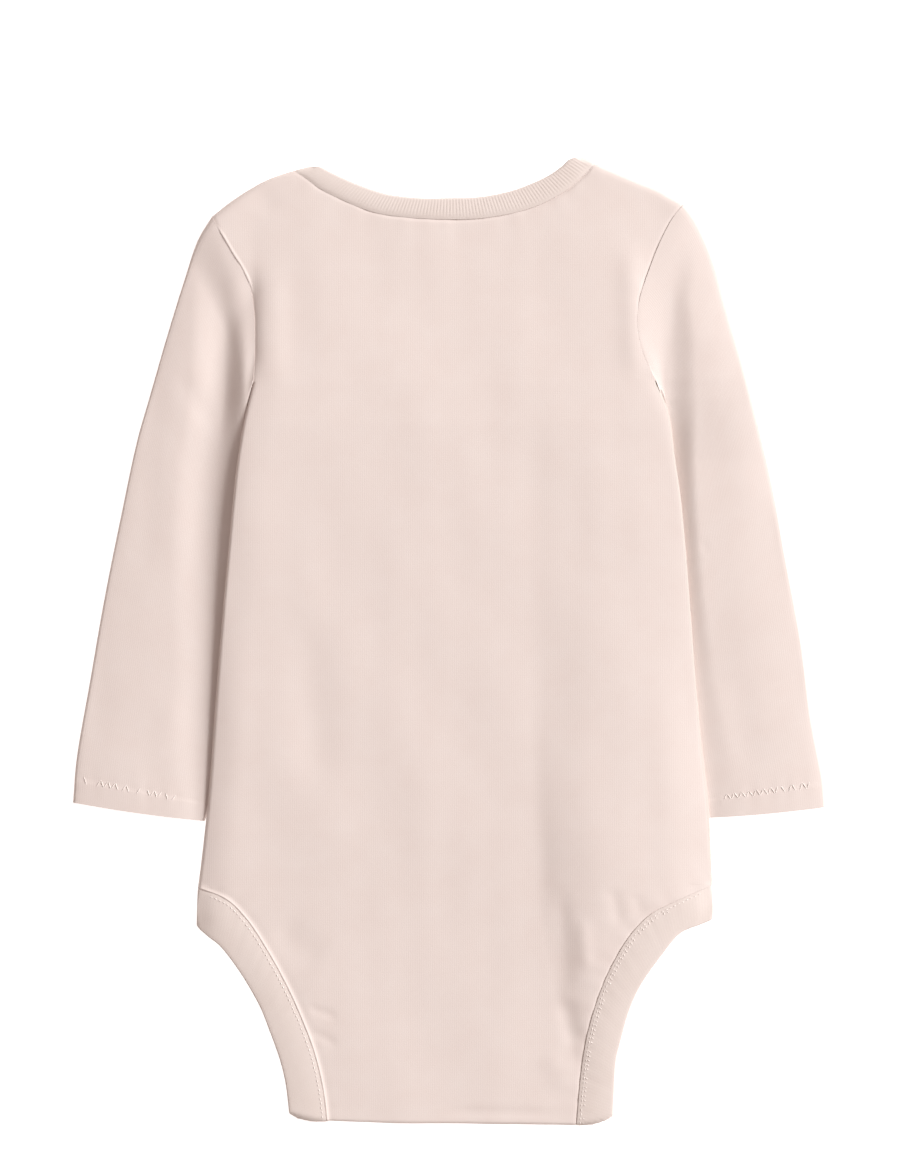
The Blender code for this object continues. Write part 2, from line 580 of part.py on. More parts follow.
def front_band_surface(plan):
    return laid(plan, lambda x, y: front_bottom(x, y, FRONT_FLAP_BAND_Z), -1.0)


def build_panels(jersey):
    back_plan = panel_plan(ARMHOLE, NECK_SEAM["back"], LEG_SEAM, BACK_SIDE_ROWS, back_leg_distances)
    outer, normal = back_surface(back_plan)
    sheet_solid("back_panel", outer, outer - normal * WALL, jersey)

    front_plan = panel_plan(FRONT_ARMHOLE, NECK_SEAM["front"], FRONT_LEG_SEAM, FRONT_SIDE_ROWS,
                            front_leg_distances)
    outer, normal = front_surface(front_plan)
    sheet_solid("front_panel", outer, outer - normal * WALL, jersey)


# ---- sleeves ----

def sleeve_top(side, x, y, from_overarm):
    """Height of the sleeve's upper layer away from its folds."""
    table = SLEEVE_LEVELS[side]
    away = (column(table, 1, y) - x) * (1.0 if side == "left" else -1.0)
    valley, ridge, inner, out_reach, in_reach = (column(table, index, y) for index in (2, 3, 4, 5, 6))
    outside = valley + (ridge - valley) * smooth(away / out_reach)
    beside_body = valley + (inner - valley) * smooth(-away / in_reach)
    level = np.where(away > 0, outside, beside_body)
    return level - OVERARM_DROP * (1 - crown(from_overarm / OVERARM_RISE))


def armhole_ring(side, armhole, surface):
    """The armhole seam on one layer of the body, moved off the panel by the seam gap."""
    curve = Curve(armhole[side])
    plan = curve.at(armhole_distances(curve))
    points, normals = surface(plan)
    tangent = np.gradient(points, axis=0)
    outward = np.cross(normals, tangent)
    outward /= np.linalg.norm(outward, axis=-1)[:, None]
    sign = -1.0 if side == "left" else 1.0
    outward *= sign * np.sign(outward[len(outward) // 2, 0])
    return points + outward * SEAM_GAP, normals


def build_sleeve(side, jersey):
    overarm, underarm = Curve(OVERARM[side]), Curve(UNDERARM[side])
    rows = np.array(SLEEVE_ROWS + (overarm.length - HEM_DEPTH, overarm.length))
    shares = rows / overarm.length
    outer_fold = overarm.at(rows)
    inner_fold = underarm.at(shares * underarm.length)

    layers = {}
    for name, armhole, surface in (("top", ARMHOLE, back_surface), ("bottom", FRONT_ARMHOLE, front_surface)):
        ring, ring_normals = armhole_ring(side, armhole, surface)
        count = len(ring)
        merge = smooth(rows / SLEEVE_MERGE)[:, None]
        width = np.linalg.norm(inner_fold - outer_fold, axis=-1)[:, None]
        fold_z = {}
        own_fold_z = SLEEVE_FOLD_Z + (FOLD_PARTING if name == "top" else -FOLD_PARTING)
        fold_z["over"] = ring[0, 2] * (1 - merge) + own_fold_z * merge
        fold_z["under"] = ring[-1, 2] * (1 - merge) + own_fold_z * merge
        inside = count - 2 * len(ROLL_STEPS)
        across = np.stack([spaced(w, inside, SLEEVE_FOLD_Z, SLEEVE_FOLD_Z) for w in width[:, 0]])
        across_shares = (across / width)[..., None]
        plan = outer_fold[:, None] * (1 - across_shares) + inner_fold[:, None] * across_shares
        keep = (np.maximum(1 - rows / ARMHOLE_FADE, 0.0) ** 2)[:, None, None]
        plan = plan + (ring[None, :, :2] - plan[:1]) * keep
        tail = smooth((rows - rows[-2]) / HEM_DEPTH)[:, None]
        x, y = plan[..., 0], plan[..., 1] - CUFF_BOW * np.sin(np.pi * across / width) * tail
        if name == "top":
            level = sleeve_top(side, x, y, across)
        else:
            level = np.zeros_like(x)
        near_over = across < width / 2
        edge_z = np.where(near_over, fold_z["over"], fold_z["under"])
        distance = np.where(near_over, across, width - across)
        roll = np.maximum(np.abs(level - edge_z), SLEEVE_FOLD_Z)
        own_z = edge_z + (level - edge_z) * arc(distance / roll)
        z = ring[None, :, 2] * (1 - merge) + own_z * merge
        layers[name] = (np.stack([x, y, z], axis=-1), ring_normals)
        layers[name][0][0] = ring
    top, top_normals = layers["top"]
    bottom, bottom_normals = layers["bottom"]
    outer = np.concatenate([top, bottom[:, ::-1]], axis=1)
    along = np.gradient(outer, axis=0)
    around = np.roll(outer, -1, axis=1) - np.roll(outer, 1, axis=1)
    normal = np.cross(around, along)
    normal /= np.linalg.norm(normal, axis=-1)[..., None]
    if normal[len(rows) // 2, top.shape[1] // 2, 2] < 0:
        normal = -normal
    normal[0] = np.concatenate([top_normals, bottom_normals[::-1]])
    wall = np.full(len(rows), WALL)
    wall[-2:] = HEM_WALL
    inner = outer - normal * wall[:, None, None]
    return sheet_solid("sleeve_" + side, outer, inner, jersey, ring=True)


# ---- bands ----

def build_neckband(rib):
    sections = []
    for layer, surface, lift in (("back", back_surface, BAND_PROUD), ("front", front_surface, 0.0)):
        seam, edge = Curve(NECK_SEAM[layer]), Curve(NECK_EDGE[layer])
        seam_at = neck_distances(seam)
        seam_points = seam.at(seam_at)
        edge_points = edge.at(spaced(edge.length, COLUMNS_OF_NECK, SHOULDER_RADIUS, SHOULDER_RADIUS))
        lifts = lift * smooth(np.minimum(seam_at, seam.length - seam_at) / BAND_RISE)
        part = band_sections(seam_points, edge_points, surface, NECK_BAND_WALL, lifts)
        sections.append(part if layer == "back" else part[::-1])
    return band_solid("neckband", np.concatenate(sections), rib, closed=True)


def build_leg_binding(side, rib):
    back_seam, back_edge = Curve(LEG_SEAM[side]), Curve(LEG_EDGE[side])
    back_at = back_leg_distances(back_seam)
    edge_at = back_at / back_at[-1] * back_edge.length
    lifts = BAND_PROUD * smooth(back_at / BAND_RISE)
    back = band_sections(back_seam.at(back_at), back_edge.at(edge_at), back_surface, LEG_BAND_WALL, lifts)

    front_seam, front_edge = Curve(FRONT_LEG_SEAM[side]), Curve(FRONT_LEG_EDGE[side])
    front_at = front_leg_distances(front_seam)
    edge_at = front_at / front_at[-1] * front_edge.length
    front = band_sections(front_seam.at(front_at), front_edge.at(edge_at), front_band_surface,
                          LEG_BAND_WALL, np.zeros(len(front_at)))
    return band_solid("leg_binding_" + side, np.concatenate([back[::-1], front]), rib, closed=False)


def build_snap(name, x, metal):
    rings = []
    for radius, height in SNAP_PROFILE:
        angles = np.linspace(0, 2 * np.pi, SNAP_SIDES, endpoint=False)
        rings.append(np.stack([x + radius * np.cos(angles), SNAP_Y + radius * np.sin(angles),
                               np.full(SNAP_SIDES, height)], axis=-1))
    return band_solid(name, np.stack(rings), metal, closed=False)


def main():
    for item in list(bpy.data.objects):
        bpy.data.objects.remove(item, do_unlink=True)
    jersey = fabric("interlock_jersey", (0.83, 0.70, 0.64), 0.9)
    rib = fabric("rib_jersey", (0.81, 0.67, 0.61), 0.9)
    metal = fabric("snap_metal", (0.74, 0.73, 0.72), 0.35, 0.9)
    build_panels(jersey)
    for side in ("left", "right"):
        build_sleeve(side, jersey)
        build_leg_binding(side, rib)
    build_neckband(rib)
    for index, x in enumerate(SNAP_X):
        build_snap(f"snap_{index + 1}", x, metal)


main()
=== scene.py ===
import bpy
import numpy as np
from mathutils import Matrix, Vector, kdtree


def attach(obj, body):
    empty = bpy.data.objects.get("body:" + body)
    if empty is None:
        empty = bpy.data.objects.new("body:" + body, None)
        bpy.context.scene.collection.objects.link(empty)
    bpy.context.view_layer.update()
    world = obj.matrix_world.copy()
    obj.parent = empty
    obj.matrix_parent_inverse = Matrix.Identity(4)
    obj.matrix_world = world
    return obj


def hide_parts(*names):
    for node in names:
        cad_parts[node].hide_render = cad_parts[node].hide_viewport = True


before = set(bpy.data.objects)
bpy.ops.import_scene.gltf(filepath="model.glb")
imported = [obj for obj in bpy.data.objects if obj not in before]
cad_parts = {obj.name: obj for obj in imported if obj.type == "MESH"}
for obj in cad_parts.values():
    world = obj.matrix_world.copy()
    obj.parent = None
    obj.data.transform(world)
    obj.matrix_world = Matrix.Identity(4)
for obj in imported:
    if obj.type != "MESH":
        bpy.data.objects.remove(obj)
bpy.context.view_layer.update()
mm = 0.001

# Cutting lines shared by the pieces, each as x and y
armholeLine = {
    "left": ((-103.5, 184.5), (-100.5, 179.0), (-95.0, 169.5), (-90.0, 161.5), (-86.5, 153.5),
             (-85.0, 144.0), (-84.5, 129.0), (-85.0, 116.0), (-85.5, 111.5)),
    "right": ((102.5, 190.5), (97.5, 184.5), (92.0, 174.5), (85.5, 158.0), (82.5, 148.5),
              (81.5, 137.0), (83.5, 126.0), (87.0, 118.0), (90.0, 112.0)),
}
frontArmholeLine = {
    "left": ((-103.5, 184.5), (-99.0, 178.0), (-92.0, 167.0), (-86.0, 156.0), (-82.0, 145.0),
             (-80.5, 133.0), (-82.0, 121.0), (-85.5, 111.5)),
    "right": ((102.5, 190.5), (96.5, 183.0), (89.5, 172.0), (83.0, 158.0), (79.0, 146.0),
              (79.0, 133.0), (83.5, 121.5), (90.0, 112.0)),
}
sideLine = {
    "left": ((-85.5, 111.5), (-89.0, 96.5), (-92.0, 79.0), (-96.5, 35.0), (-101.0, -17.0),
             (-105.0, -69.5), (-108.0, -96.0), (-109.5, -107.5)),
    "right": ((90.0, 112.0), (95.0, 99.5), (98.0, 79.0), (100.5, 61.5), (103.0, 35.0), (105.0, 9.0),
              (107.0, -17.0), (109.5, -43.5), (112.5, -69.5), (114.0, -95.5), (114.5, -106.0)),
}
bindingSideLine = {   # the side fold carried on over the leg binding
    "left": ((-109.5, -107.5), (-110.5, -113.0), (-111.0, -119.0), (-110.0, -124.5)),
    "right": ((114.5, -106.0), (115.5, -112.5), (116.0, -117.0), (114.5, -121.5)),
}
shoulderLine = {
    "left": ((-103.5, 184.5), (-96.0, 190.5), (-87.0, 196.5), (-78.5, 201.0), (-68.0, 204.5)),
    "right": ((102.5, 190.5), (96.0, 194.0), (91.5, 196.5), (83.0, 200.0), (74.5, 203.5), (64.0, 208.0)),
}
neckbandShoulderLine = {
    "left": ((-68.0, 204.5), (-64.5, 205.5), (-60.0, 206.5)),
    "right": ((64.0, 208.0), (61.0, 209.5), (57.0, 210.5)),
}
neckSeamLine = {
    "back": ((-68.0, 204.5), (-62.0, 200.5), (-56.5, 196.5), (-45.5, 191.0), (-32.5, 186.0),
             (-19.5, 184.0), (-2.0, 183.0), (14.0, 183.5), (28.5, 186.0), (39.5, 189.5),
             (50.5, 195.5), (57.5, 201.5), (64.0, 208.0)),
    "front": ((-68.0, 204.5), (-62.0, 194.0), (-55.0, 183.0), (-46.0, 172.0), (-33.0, 161.0),
              (-17.0, 154.5), (0.0, 153.0), (16.5, 155.5), (31.5, 163.5), (43.0, 174.5),
              (51.5, 186.0), (58.0, 197.0), (64.0, 208.0)),
}
neckEdgeLine = {
    "back": ((-60.0, 206.5), (-56.0, 206.0), (-52.0, 204.0), (-43.5, 200.0), (-34.5, 196.5),
             (-26.0, 194.0), (-13.0, 192.5), (0.0, 192.5), (13.5, 193.0), (26.5, 195.5),
             (35.0, 198.5), (43.5, 202.5), (48.5, 206.0), (52.5, 209.5), (57.0, 210.5)),
    "front": ((-60.0, 206.5), (-54.5, 198.5), (-47.5, 187.5), (-39.0, 177.5), (-28.0, 168.5),
              (-14.5, 163.0), (0.0, 162.0), (14.0, 164.0), (26.0, 170.5), (36.0, 180.0),
              (44.0, 190.5), (50.5, 201.5), (57.0, 210.5)),
}
legSeamLine = {   # laid out straight, before the back turns under at the crotch
    "left": ((-109.5, -107.5), (-97.0, -112.5), (-88.0, -121.5), (-78.0, -137.0), (-70.0, -152.0),
             (-64.0, -165.5), (-59.5, -177.5), (-56.0, -191.0), (-54.0, -204.0), (-53.0, -220.0),
             (-52.5, -236.0)),
    "right": ((114.5, -106.0), (96.0, -114.0), (87.5, -118.5), (79.0, -127.0), (71.5, -139.0),
              (66.0, -151.0), (60.5, -168.5), (58.0, -181.5), (56.5, -194.5), (55.5, -207.0),
              (54.5, -220.0), (54.0, -236.0)),
}
legEdgeLine = {
    "left": ((-110.0, -124.5), (-104.5, -129.0), (-100.0, -132.5), (-91.5, -143.5), (-82.5, -159.0),
             (-78.5, -169.0), (-74.0, -181.5), (-71.5, -191.5), (-70.0, -203.0), (-68.5, -220.0),
             (-67.5, -236.0)),
    "right": ((114.5, -121.5), (109.0, -123.5), (100.5, -127.0), (92.0, -137.0), (83.0, -150.0),
              (78.5, -160.0), (74.5, -174.0), (72.5, -183.0), (71.5, -200.0), (70.5, -220.0),
              (69.5, -236.0)),
}
frontLegSeamLine = {
    "left": ((-109.5, -107.5), (-98.0, -110.5), (-84.0, -117.5), (-70.0, -129.0), (-59.5, -145.5),
             (-52.5, -164.0), (-49.0, -183.0), (-48.0, -203.0)),
    "right": ((114.5, -106.0), (101.5, -109.5), (87.5, -116.0), (73.5, -127.5), (62.5, -144.0),
              (55.5, -162.5), (52.0, -182.0), (51.0, -203.0)),
}
frontLegEdgeLine = {
    "left": ((-110.0, -124.5), (-100.5, -126.0), (-90.0, -130.5), (-80.0, -139.0), (-72.0, -152.0),
             (-66.5, -168.0), (-63.0, -185.0), (-62.0, -203.0)),
    "right": ((114.5, -121.5), (104.0, -123.5), (93.5, -128.5), (83.5, -137.5), (75.5, -151.0),
              (69.5, -167.0), (66.5, -184.0), (65.0, -203.0)),
}
crotchFoldLine = ((-70.5, -205.0), (-66.0, -207.5), (-60.0, -208.7), (-53.5, -209.0), (-25.0, -209.8),
                  (0.0, -210.0), (30.0, -210.2), (54.5, -210.7), (63.0, -210.0), (68.0, -208.5),
                  (72.0, -206.0))
overarmLine = {
    "left": ((-103.5, 184.5), (-109.5, 174.5), (-115.5, 157.0), (-123.5, 131.0), (-131.0, 105.0),
             (-136.0, 87.5), (-143.5, 52.5), (-150.5, 17.5), (-156.5, -17.0), (-162.5, -52.0),
             (-164.0, -70.5)),
    "right": ((102.5, 190.5), (107.5, 183.5), (115.0, 166.0), (120.0, 148.5), (125.0, 131.0),
              (132.0, 105.0), (140.5, 70.0), (147.0, 35.0), (153.5, 0.0), (158.0, -34.5),
              (163.0, -61.0), (164.0, -72.5)),
}
underarmLine = {
    "left": ((-85.5, 111.5), (-87.4, 103.5), (-88.4, 95.5), (-89.3, 88.0), (-90.4, 76.0), (-92.2, 61.0),
             (-94.4, 35.0), (-97.0, 9.0), (-99.0, -17.0), (-101.0, -43.0), (-104.0, -70.0),
             (-106.5, -78.5)),
    "right": ((90.0, 112.0), (92.8, 103.5), (94.3, 96.0), (95.4, 88.0), (96.3, 76.0), (96.4, 62.0),
              (96.0, 48.0), (96.0, 33.0), (97.0, 9.0), (98.5, -17.0), (101.0, -43.0), (104.0, -65.0),
              (106.0, -77.5)),
}

# Heights that the pieces share
cloth = {
    "wall": 1.0,
    "seamGap": 0.12,
    "boxedPower": 2.6,      # how square the folded sides are, 2 is an ellipse
    "boxedFrom": 1.4,       # a fold lower than this stays round
    "boxedOver": 1.2,       # and this much higher it is fully squared
    "sewnGap": 0.05,
    "shoulderFoldZ": 2.5,
    "shoulderTopZ": 5.0,
    "crotchFoldZ": 3.9,
    "crotchTopZ": 5.3,
    "frontReach": {"inside": 28.0, "over": 16.0},   # how far in the front is lifted beside its sides
    "flapStart": {"y": -170.0, "over": 12.0},       # where the front rises onto its flap
    "bandFlapZ": 0.3,
    "sideRoll": 1.9,        # points are drawn together this far from a side fold
    "bandFade": 12.0,       # a band sinks to the cloth's own height over this length at its ends
    "creaseFade": 6.0,      # creases die away this far from a fold
    "longestSeam": 1200.0,
    "sideReach": {"left": 14.0, "right": 22.0},   # how far in the back slopes down to its sides
    "curveStep": 0.4,
    "rollSteps": (0.0, 0.034, 0.134, 0.293, 0.5, 0.741, 1.0),
}
bodyLevels = (   # y, back in the middle, back at the sides, front at the sides
    (206.0, 5.0, 5.0, 0.0),
    (150.0, 6.9, 6.3, 0.0),
    (112.0, 8.7, 8.0, 1.6),
    (94.0, 9.2, 8.5, 3.1),
    (50.0, 9.2, 8.5, 3.1),
    (10.0, 8.8, 7.8, 3.1),
    (-20.0, 8.4, 7.1, 3.1),
    (-60.0, 7.8, 6.3, 3.1),
    (-83.0, 7.3, 5.9, 3.1),
    (-107.0, 6.4, 5.0, 0.0),
    (-125.0, 5.9, 4.6, 0.0),
    (-160.0, 5.4, 4.9, 0.0),
    (-192.0, 5.3, 5.3, 0.0),
)


def smooth(share):
    share = np.clip(share, 0.0, 1.0)
    return share * share * (3.0 - 2.0 * share)


def arc(share):
    share = np.clip(share, 0.0, 1.0)
    return np.sqrt(1.0 - (1.0 - share) ** 2)


def crown(share):
    return 1.0 - (1.0 - np.clip(share, 0.0, 1.0)) ** 2


def tightRoll(height):
    # how wide the edge of a folded sheet must be for a wall inside it, where it is this high
    return np.sqrt(1.05 * cloth["wall"] * height)


def boxedRoll(height):
    # the same for an edge with a squarer section
    return 1.2 * cloth["wall"] + 0.14 * height


def bell(distance, width):
    return np.exp(-(distance / width) ** 2)


def column(table, index, y):
    rows = np.array(table)[::-1]
    return np.interp(y, rows[:, 0], rows[:, index])


def planCurve(points):
    # a smooth line through a few points, kept with its running length and a search tree
    points = np.array(points, dtype=float)
    ends = np.vstack([2 * points[0] - points[1], points, 2 * points[-1] - points[-2]])
    knots = np.concatenate([[0.0], np.cumsum(np.linalg.norm(np.diff(ends, axis=0), axis=1) ** 0.5)])
    dense = []
    for index in range(1, len(ends) - 2):
        before, start, stop, after = ends[index - 1:index + 3]
        k0, k1, k2, k3 = knots[index - 1:index + 3]
        steps = max(2, int(np.linalg.norm(stop - start) / cloth["curveStep"]))
        at = np.linspace(k1, k2, steps, endpoint=False)[:, None]
        a1 = (k1 - at) / (k1 - k0) * before + (at - k0) / (k1 - k0) * start
        a2 = (k2 - at) / (k2 - k1) * start + (at - k1) / (k2 - k1) * stop
        a3 = (k3 - at) / (k3 - k2) * stop + (at - k2) / (k3 - k2) * after
        b1 = (k2 - at) / (k2 - k0) * a1 + (at - k0) / (k2 - k0) * a2
        b2 = (k3 - at) / (k3 - k1) * a2 + (at - k1) / (k3 - k1) * a3
        dense.append((k2 - at) / (k2 - k1) * b1 + (at - k1) / (k2 - k1) * b2)
    line = np.vstack(dense + [points[-1:]])
    lengths = np.concatenate([[0.0], np.cumsum(np.linalg.norm(np.diff(line, axis=0), axis=1))])
    tree = kdtree.KDTree(len(line))
    for index, (x, y) in enumerate(line):
        tree.insert((x, y, 0.0), index)
    tree.balance()
    return {"points": line, "lengths": lengths, "length": lengths[-1], "tree": tree}


def curveAt(curve, distance):
    return np.stack([np.interp(distance, curve["lengths"], curve["points"][:, k]) for k in (0, 1)], axis=-1)


def closestOn(curve, x, y):
    # distance to the line, how far along it that is, and the point's number
    flatX, flatY = np.ravel(x), np.ravel(y)
    found = [curve["tree"].find((a, b, 0.0)) for a, b in zip(flatX, flatY)]
    number = np.array([item[1] for item in found]).reshape(np.shape(x))
    distance = np.array([item[2] for item in found]).reshape(np.shape(x))
    return distance, curve["lengths"][number], number


def spaced(length, count, startRadius=0.0, stopRadius=0.0):
    # closer together where a rolled edge is crossed
    steps = np.array(cloth["rollSteps"])
    first = steps * startRadius if startRadius else np.array([0.0])
    last = length - steps[::-1] * stopRadius if stopRadius else np.array([length])
    middle = np.linspace(first[-1], last[0], count + 2)[1:-1]
    return np.concatenate([first, middle, last])


def foldSum(folds, x, y):
    # soft straight troughs and ridges, tapering out at both ends
    total = np.zeros_like(x)
    for x0, y0, x1, y1, halfWidth, height in folds:
        run = np.array([x1 - x0, y1 - y0])
        length = np.linalg.norm(run)
        along = ((x - x0) * run[0] + (y - y0) * run[1]) / length
        across = ((x - x0) * run[1] - (y - y0) * run[0]) / length
        taper = smooth(along / (0.3 * length)) * smooth((length - along) / (0.3 * length))
        total += height * bell(across, halfWidth) * taper
    return total


def longFoldSum(folds, x, y):
    # folds that run down the garment: each rises to the right from its line, then falls slowly
    total = np.zeros_like(x)
    for rows in folds:
        line, rising, falling, height = (column(rows, index, y) for index in (1, 2, 3, 4))
        share = (x - line) / rising
        rise = (crown(share - 0.08) + crown(share) + crown(share + 0.08)) / 3
        fall = smooth((x - line - rising) / falling)
        total += height * rise * (1 - fall)
    return total


def unrest(x, y, settings):
    # slow uneven swell of cloth that was smoothed out by hand
    dice = np.random.default_rng(settings["seed"])
    total = np.zeros_like(x)
    for shortest, longest, lean, height, waves in settings["layers"]:
        for _ in range(waves):
            wave = dice.uniform(shortest, longest)
            turn = dice.uniform(0, 2 * np.pi)
            along = np.cos(turn) * x + np.sin(turn) * y * lean
            total += height / waves ** 0.5 * np.cos(2 * np.pi * along / wave + dice.uniform(0, 2 * np.pi))
    return total


def puckers(along, away, pitch, height, reach, seed):
    # small gathers that run out from a line of sewing
    dice = np.random.default_rng(seed)
    knots = np.arange(0.0, cloth["longestSeam"], pitch)
    phase = np.interp(along, knots, np.cumsum(dice.uniform(0.55, 1.45, len(knots))) * np.pi)
    size = np.interp(along, knots, dice.uniform(0.2, 1.0, len(knots)))
    return height * size * np.sin(phase) * np.exp(-away / reach)


sideCurve = {side: planCurve(sideLine[side] + bindingSideLine[side][1:]) for side in ("left", "right")}
shoulderCurve = {side: planCurve(shoulderLine[side] + neckbandShoulderLine[side][1:])
                 for side in ("left", "right")}
legSeamCurve = {side: planCurve(legSeamLine[side]) for side in ("left", "right")}
armholeCurve = {side: planCurve(armholeLine[side]) for side in ("left", "right")}
neckSeamCurve = {layer: planCurve(neckSeamLine[layer]) for layer in ("back", "front")}
crotchLine = np.array(crotchFoldLine)
shoulderRadius = cloth["shoulderTopZ"] - cloth["shoulderFoldZ"]

largeFolds = (
    # x0, y0, x1, y1, half width, height
    (-86.5, 166.0, -86.0, 108.0, 3.6, -1.1),    # the panel rolls down to the left armhole
    (-77.0, 168.0, -76.5, 106.0, 6.0, 0.35),
    (78.5, 176.0, 80.5, 108.0, 5.5, 0.65),      # ridge inside the right armhole
    (-62.0, 20.0, -57.0, -72.0, 9.0, -0.5),
)
longFolds = (
    # rows of y, x, width of the rising flank, width of the falling flank, height
    (
        (30.0, 38.0, 34.0, 60.0, 0.3),
        (-10.0, 37.5, 30.0, 60.0, 0.9),
        (-45.0, 38.0, 26.0, 60.0, 1.4),
        (-70.0, 39.0, 26.0, 60.0, 1.8),
        (-92.0, 40.5, 25.0, 60.0, 2.1),
        (-113.0, 41.0, 28.0, 60.0, 2.2),
        (-131.0, 44.0, 23.0, 60.0, 2.0),
        (-148.0, 46.5, 18.0, 50.0, 1.5),
        (-165.0, 50.0, 13.0, 30.0, 0.9),
        (-182.0, 55.0, 8.0, 20.0, 0.3),
        (-192.0, 58.0, 8.0, 20.0, 0.0),
    ),
)


def insideSide(x, y):
    gaps = []
    for side, sign in (("left", 1.0), ("right", -1.0)):
        line = sideCurve[side]["points"][::-1]
        gaps.append(sign * (x - np.interp(y, line[:, 1], line[:, 0])))
    return np.minimum(gaps[0], gaps[1])


def backTop(x, y):
    reach = np.where(x < 0, cloth["sideReach"]["left"], cloth["sideReach"]["right"])
    middleShare = crown(insideSide(x, y) / reach)
    level = column(bodyLevels, 1, y) * middleShare + column(bodyLevels, 2, y) * (1 - middleShare)
    return level + foldSum(largeFolds, x, y) + longFoldSum(longFolds, x, y)


def frontBottom(x, y, flapZ=1.0):
    reach, flap = cloth["frontReach"], cloth["flapStart"]
    sideShare = smooth((reach["inside"] - insideSide(x, y)) / reach["over"])
    return column(bodyLevels, 3, y) * sideShare + flapZ * smooth((flap["y"] - y) / flap["over"])


def foldPlace(x, y):
    # distance to the nearest side or shoulder fold, the way out over it, and its height
    best = np.full(x.shape, 1e9)
    outward = np.zeros(x.shape + (2,))
    height = np.zeros(x.shape)
    beside = np.zeros(x.shape, dtype=bool)
    points = np.stack([x, y], axis=-1)
    for kind, curves in (("side", sideCurve), ("shoulder", shoulderCurve)):
        for curve in curves.values():
            line = curve["points"]
            tangent = np.gradient(line, axis=0)
            normal = np.stack([tangent[:, 1], -tangent[:, 0]], axis=-1)
            normal /= np.linalg.norm(normal, axis=1)[:, None]
            if np.dot(normal[len(line) // 2], line[len(line) // 2] - np.array([0.0, 50.0])) < 0:
                normal = -normal
            if kind == "side":
                foldZ = (column(bodyLevels, 2, line[:, 1]) + column(bodyLevels, 3, line[:, 1])) / 2
            else:
                foldZ = np.full(len(line), cloth["shoulderFoldZ"])
            near, _, number = closestOn(curve, x, y)
            pastEnd = (number == 0) | (number == len(line) - 1)
            across = np.sum((line[number] - points) * normal[number], axis=-1)
            distance = np.where(pastEnd, near, np.maximum(across, 0.0))
            closer = distance < best
            best = np.where(closer, distance, best)
            outward = np.where(closer[..., None], normal[number], outward)
            height = np.where(closer, foldZ[number], height)
            beside = np.where(closer, kind == "side", beside)
    return best, outward, height, beside


def laid(plan, level, sign):
    # points and outward normals of one layer; sign is 1 for the back and -1 for the front
    x, y = plan[..., 0], plan[..., 1]
    distance, outward, foldZ, beside = foldPlace(x, y)
    edgeZ = foldZ + sign * cloth["seamGap"] / 2
    flatZ = level(x, y)
    radius = np.maximum(np.abs(flatZ - edgeZ), cloth["wall"] + 0.2)
    boxed = smooth((radius - cloth["boxedFrom"]) / cloth["boxedOver"]) * (beside & (sign > 0))
    wide = 1.0 + (boxedRoll(radius) / radius - 1.0) * boxed
    power = 2.0 + (cloth["boxedPower"] - 2.0) * boxed
    share = np.clip(distance / (radius * wide), 0.0, 1.0)
    risen = (1.0 - (1.0 - share) ** power) ** (1.0 / power)
    z = edgeZ + (flatZ - edgeZ) * risen
    alongX = level(x + 0.5, y) - level(x - 0.5, y)
    alongY = level(x, y + 0.5) - level(x, y - 0.5)
    flatNormal = sign * np.stack([-alongX, -alongY, np.ones_like(x)], axis=-1)
    flatNormal /= np.linalg.norm(flatNormal, axis=-1)[..., None]
    sideways = np.concatenate([outward, np.zeros(x.shape + (1,))], axis=-1)
    outwardShare = (1 - share) ** (power - 1) / wide
    normal = outwardShare[..., None] * sideways + (risen ** (power - 1))[..., None] * flatNormal
    normal /= np.linalg.norm(normal, axis=-1)[..., None]
    return np.stack([x, y, z], axis=-1), normal


def turnedUnder(points, normals):
    # the end of the back, rolled round the crotch fold and laid back underneath
    points, normals = points.copy(), normals.copy()
    foldY = np.interp(points[..., 0], crotchLine[:, 0], crotchLine[:, 1])
    radius = np.maximum(points[..., 2] - cloth["crotchFoldZ"], cloth["wall"])
    past = foldY + radius - points[..., 1]
    angle = np.clip(past / radius, 0.0, np.pi)
    straight = np.maximum(past - np.pi * radius, 0.0)
    turned = past > 0
    y = foldY + radius - radius * np.sin(angle) + straight
    z = cloth["crotchFoldZ"] + radius * np.cos(angle)
    points[..., 1] = np.where(turned, y, points[..., 1])
    points[..., 2] = np.where(turned, z, points[..., 2])
    rolled = np.stack([np.zeros_like(y), -np.sin(angle), np.cos(angle)], axis=-1)
    return points, np.where(turned[..., None], rolled, normals)


def backSurface(plan):
    return turnedUnder(*laid(plan, backTop, 1.0))


def frontSurface(plan):
    return laid(plan, frontBottom, -1.0)


def frontBandSurface(plan):
    return laid(plan, lambda x, y: frontBottom(x, y, cloth["bandFlapZ"]), -1.0)


def addPiece(name, points, faces, material, place=None):
    points = np.asarray(points)
    faces = np.asarray(faces)
    a, b, c = points[faces[:, 0]], points[faces[:, 1]], points[faces[:, 2]]
    volume = np.sum(a * np.cross(b, c)) + np.sum(a * np.cross(c, points[faces[:, 3]]))
    if volume < 0:
        faces = faces[:, ::-1]
    mesh = bpy.data.meshes.new(name)
    mesh.from_pydata((points * mm).tolist(), [], faces.tolist())
    mesh.shade_smooth()
    mesh.set_sharp_from_angle(angle=np.radians(70.0))
    mesh.materials.append(material)
    if place is not None:
        stored = mesh.attributes.new("clothPlace", "FLOAT_VECTOR", "POINT")
        stored.data.foreach_set("vector", np.ascontiguousarray(place, dtype=np.float32).ravel())
    item = bpy.data.objects.new(name, mesh)
    bpy.context.scene.collection.objects.link(item)
    return item


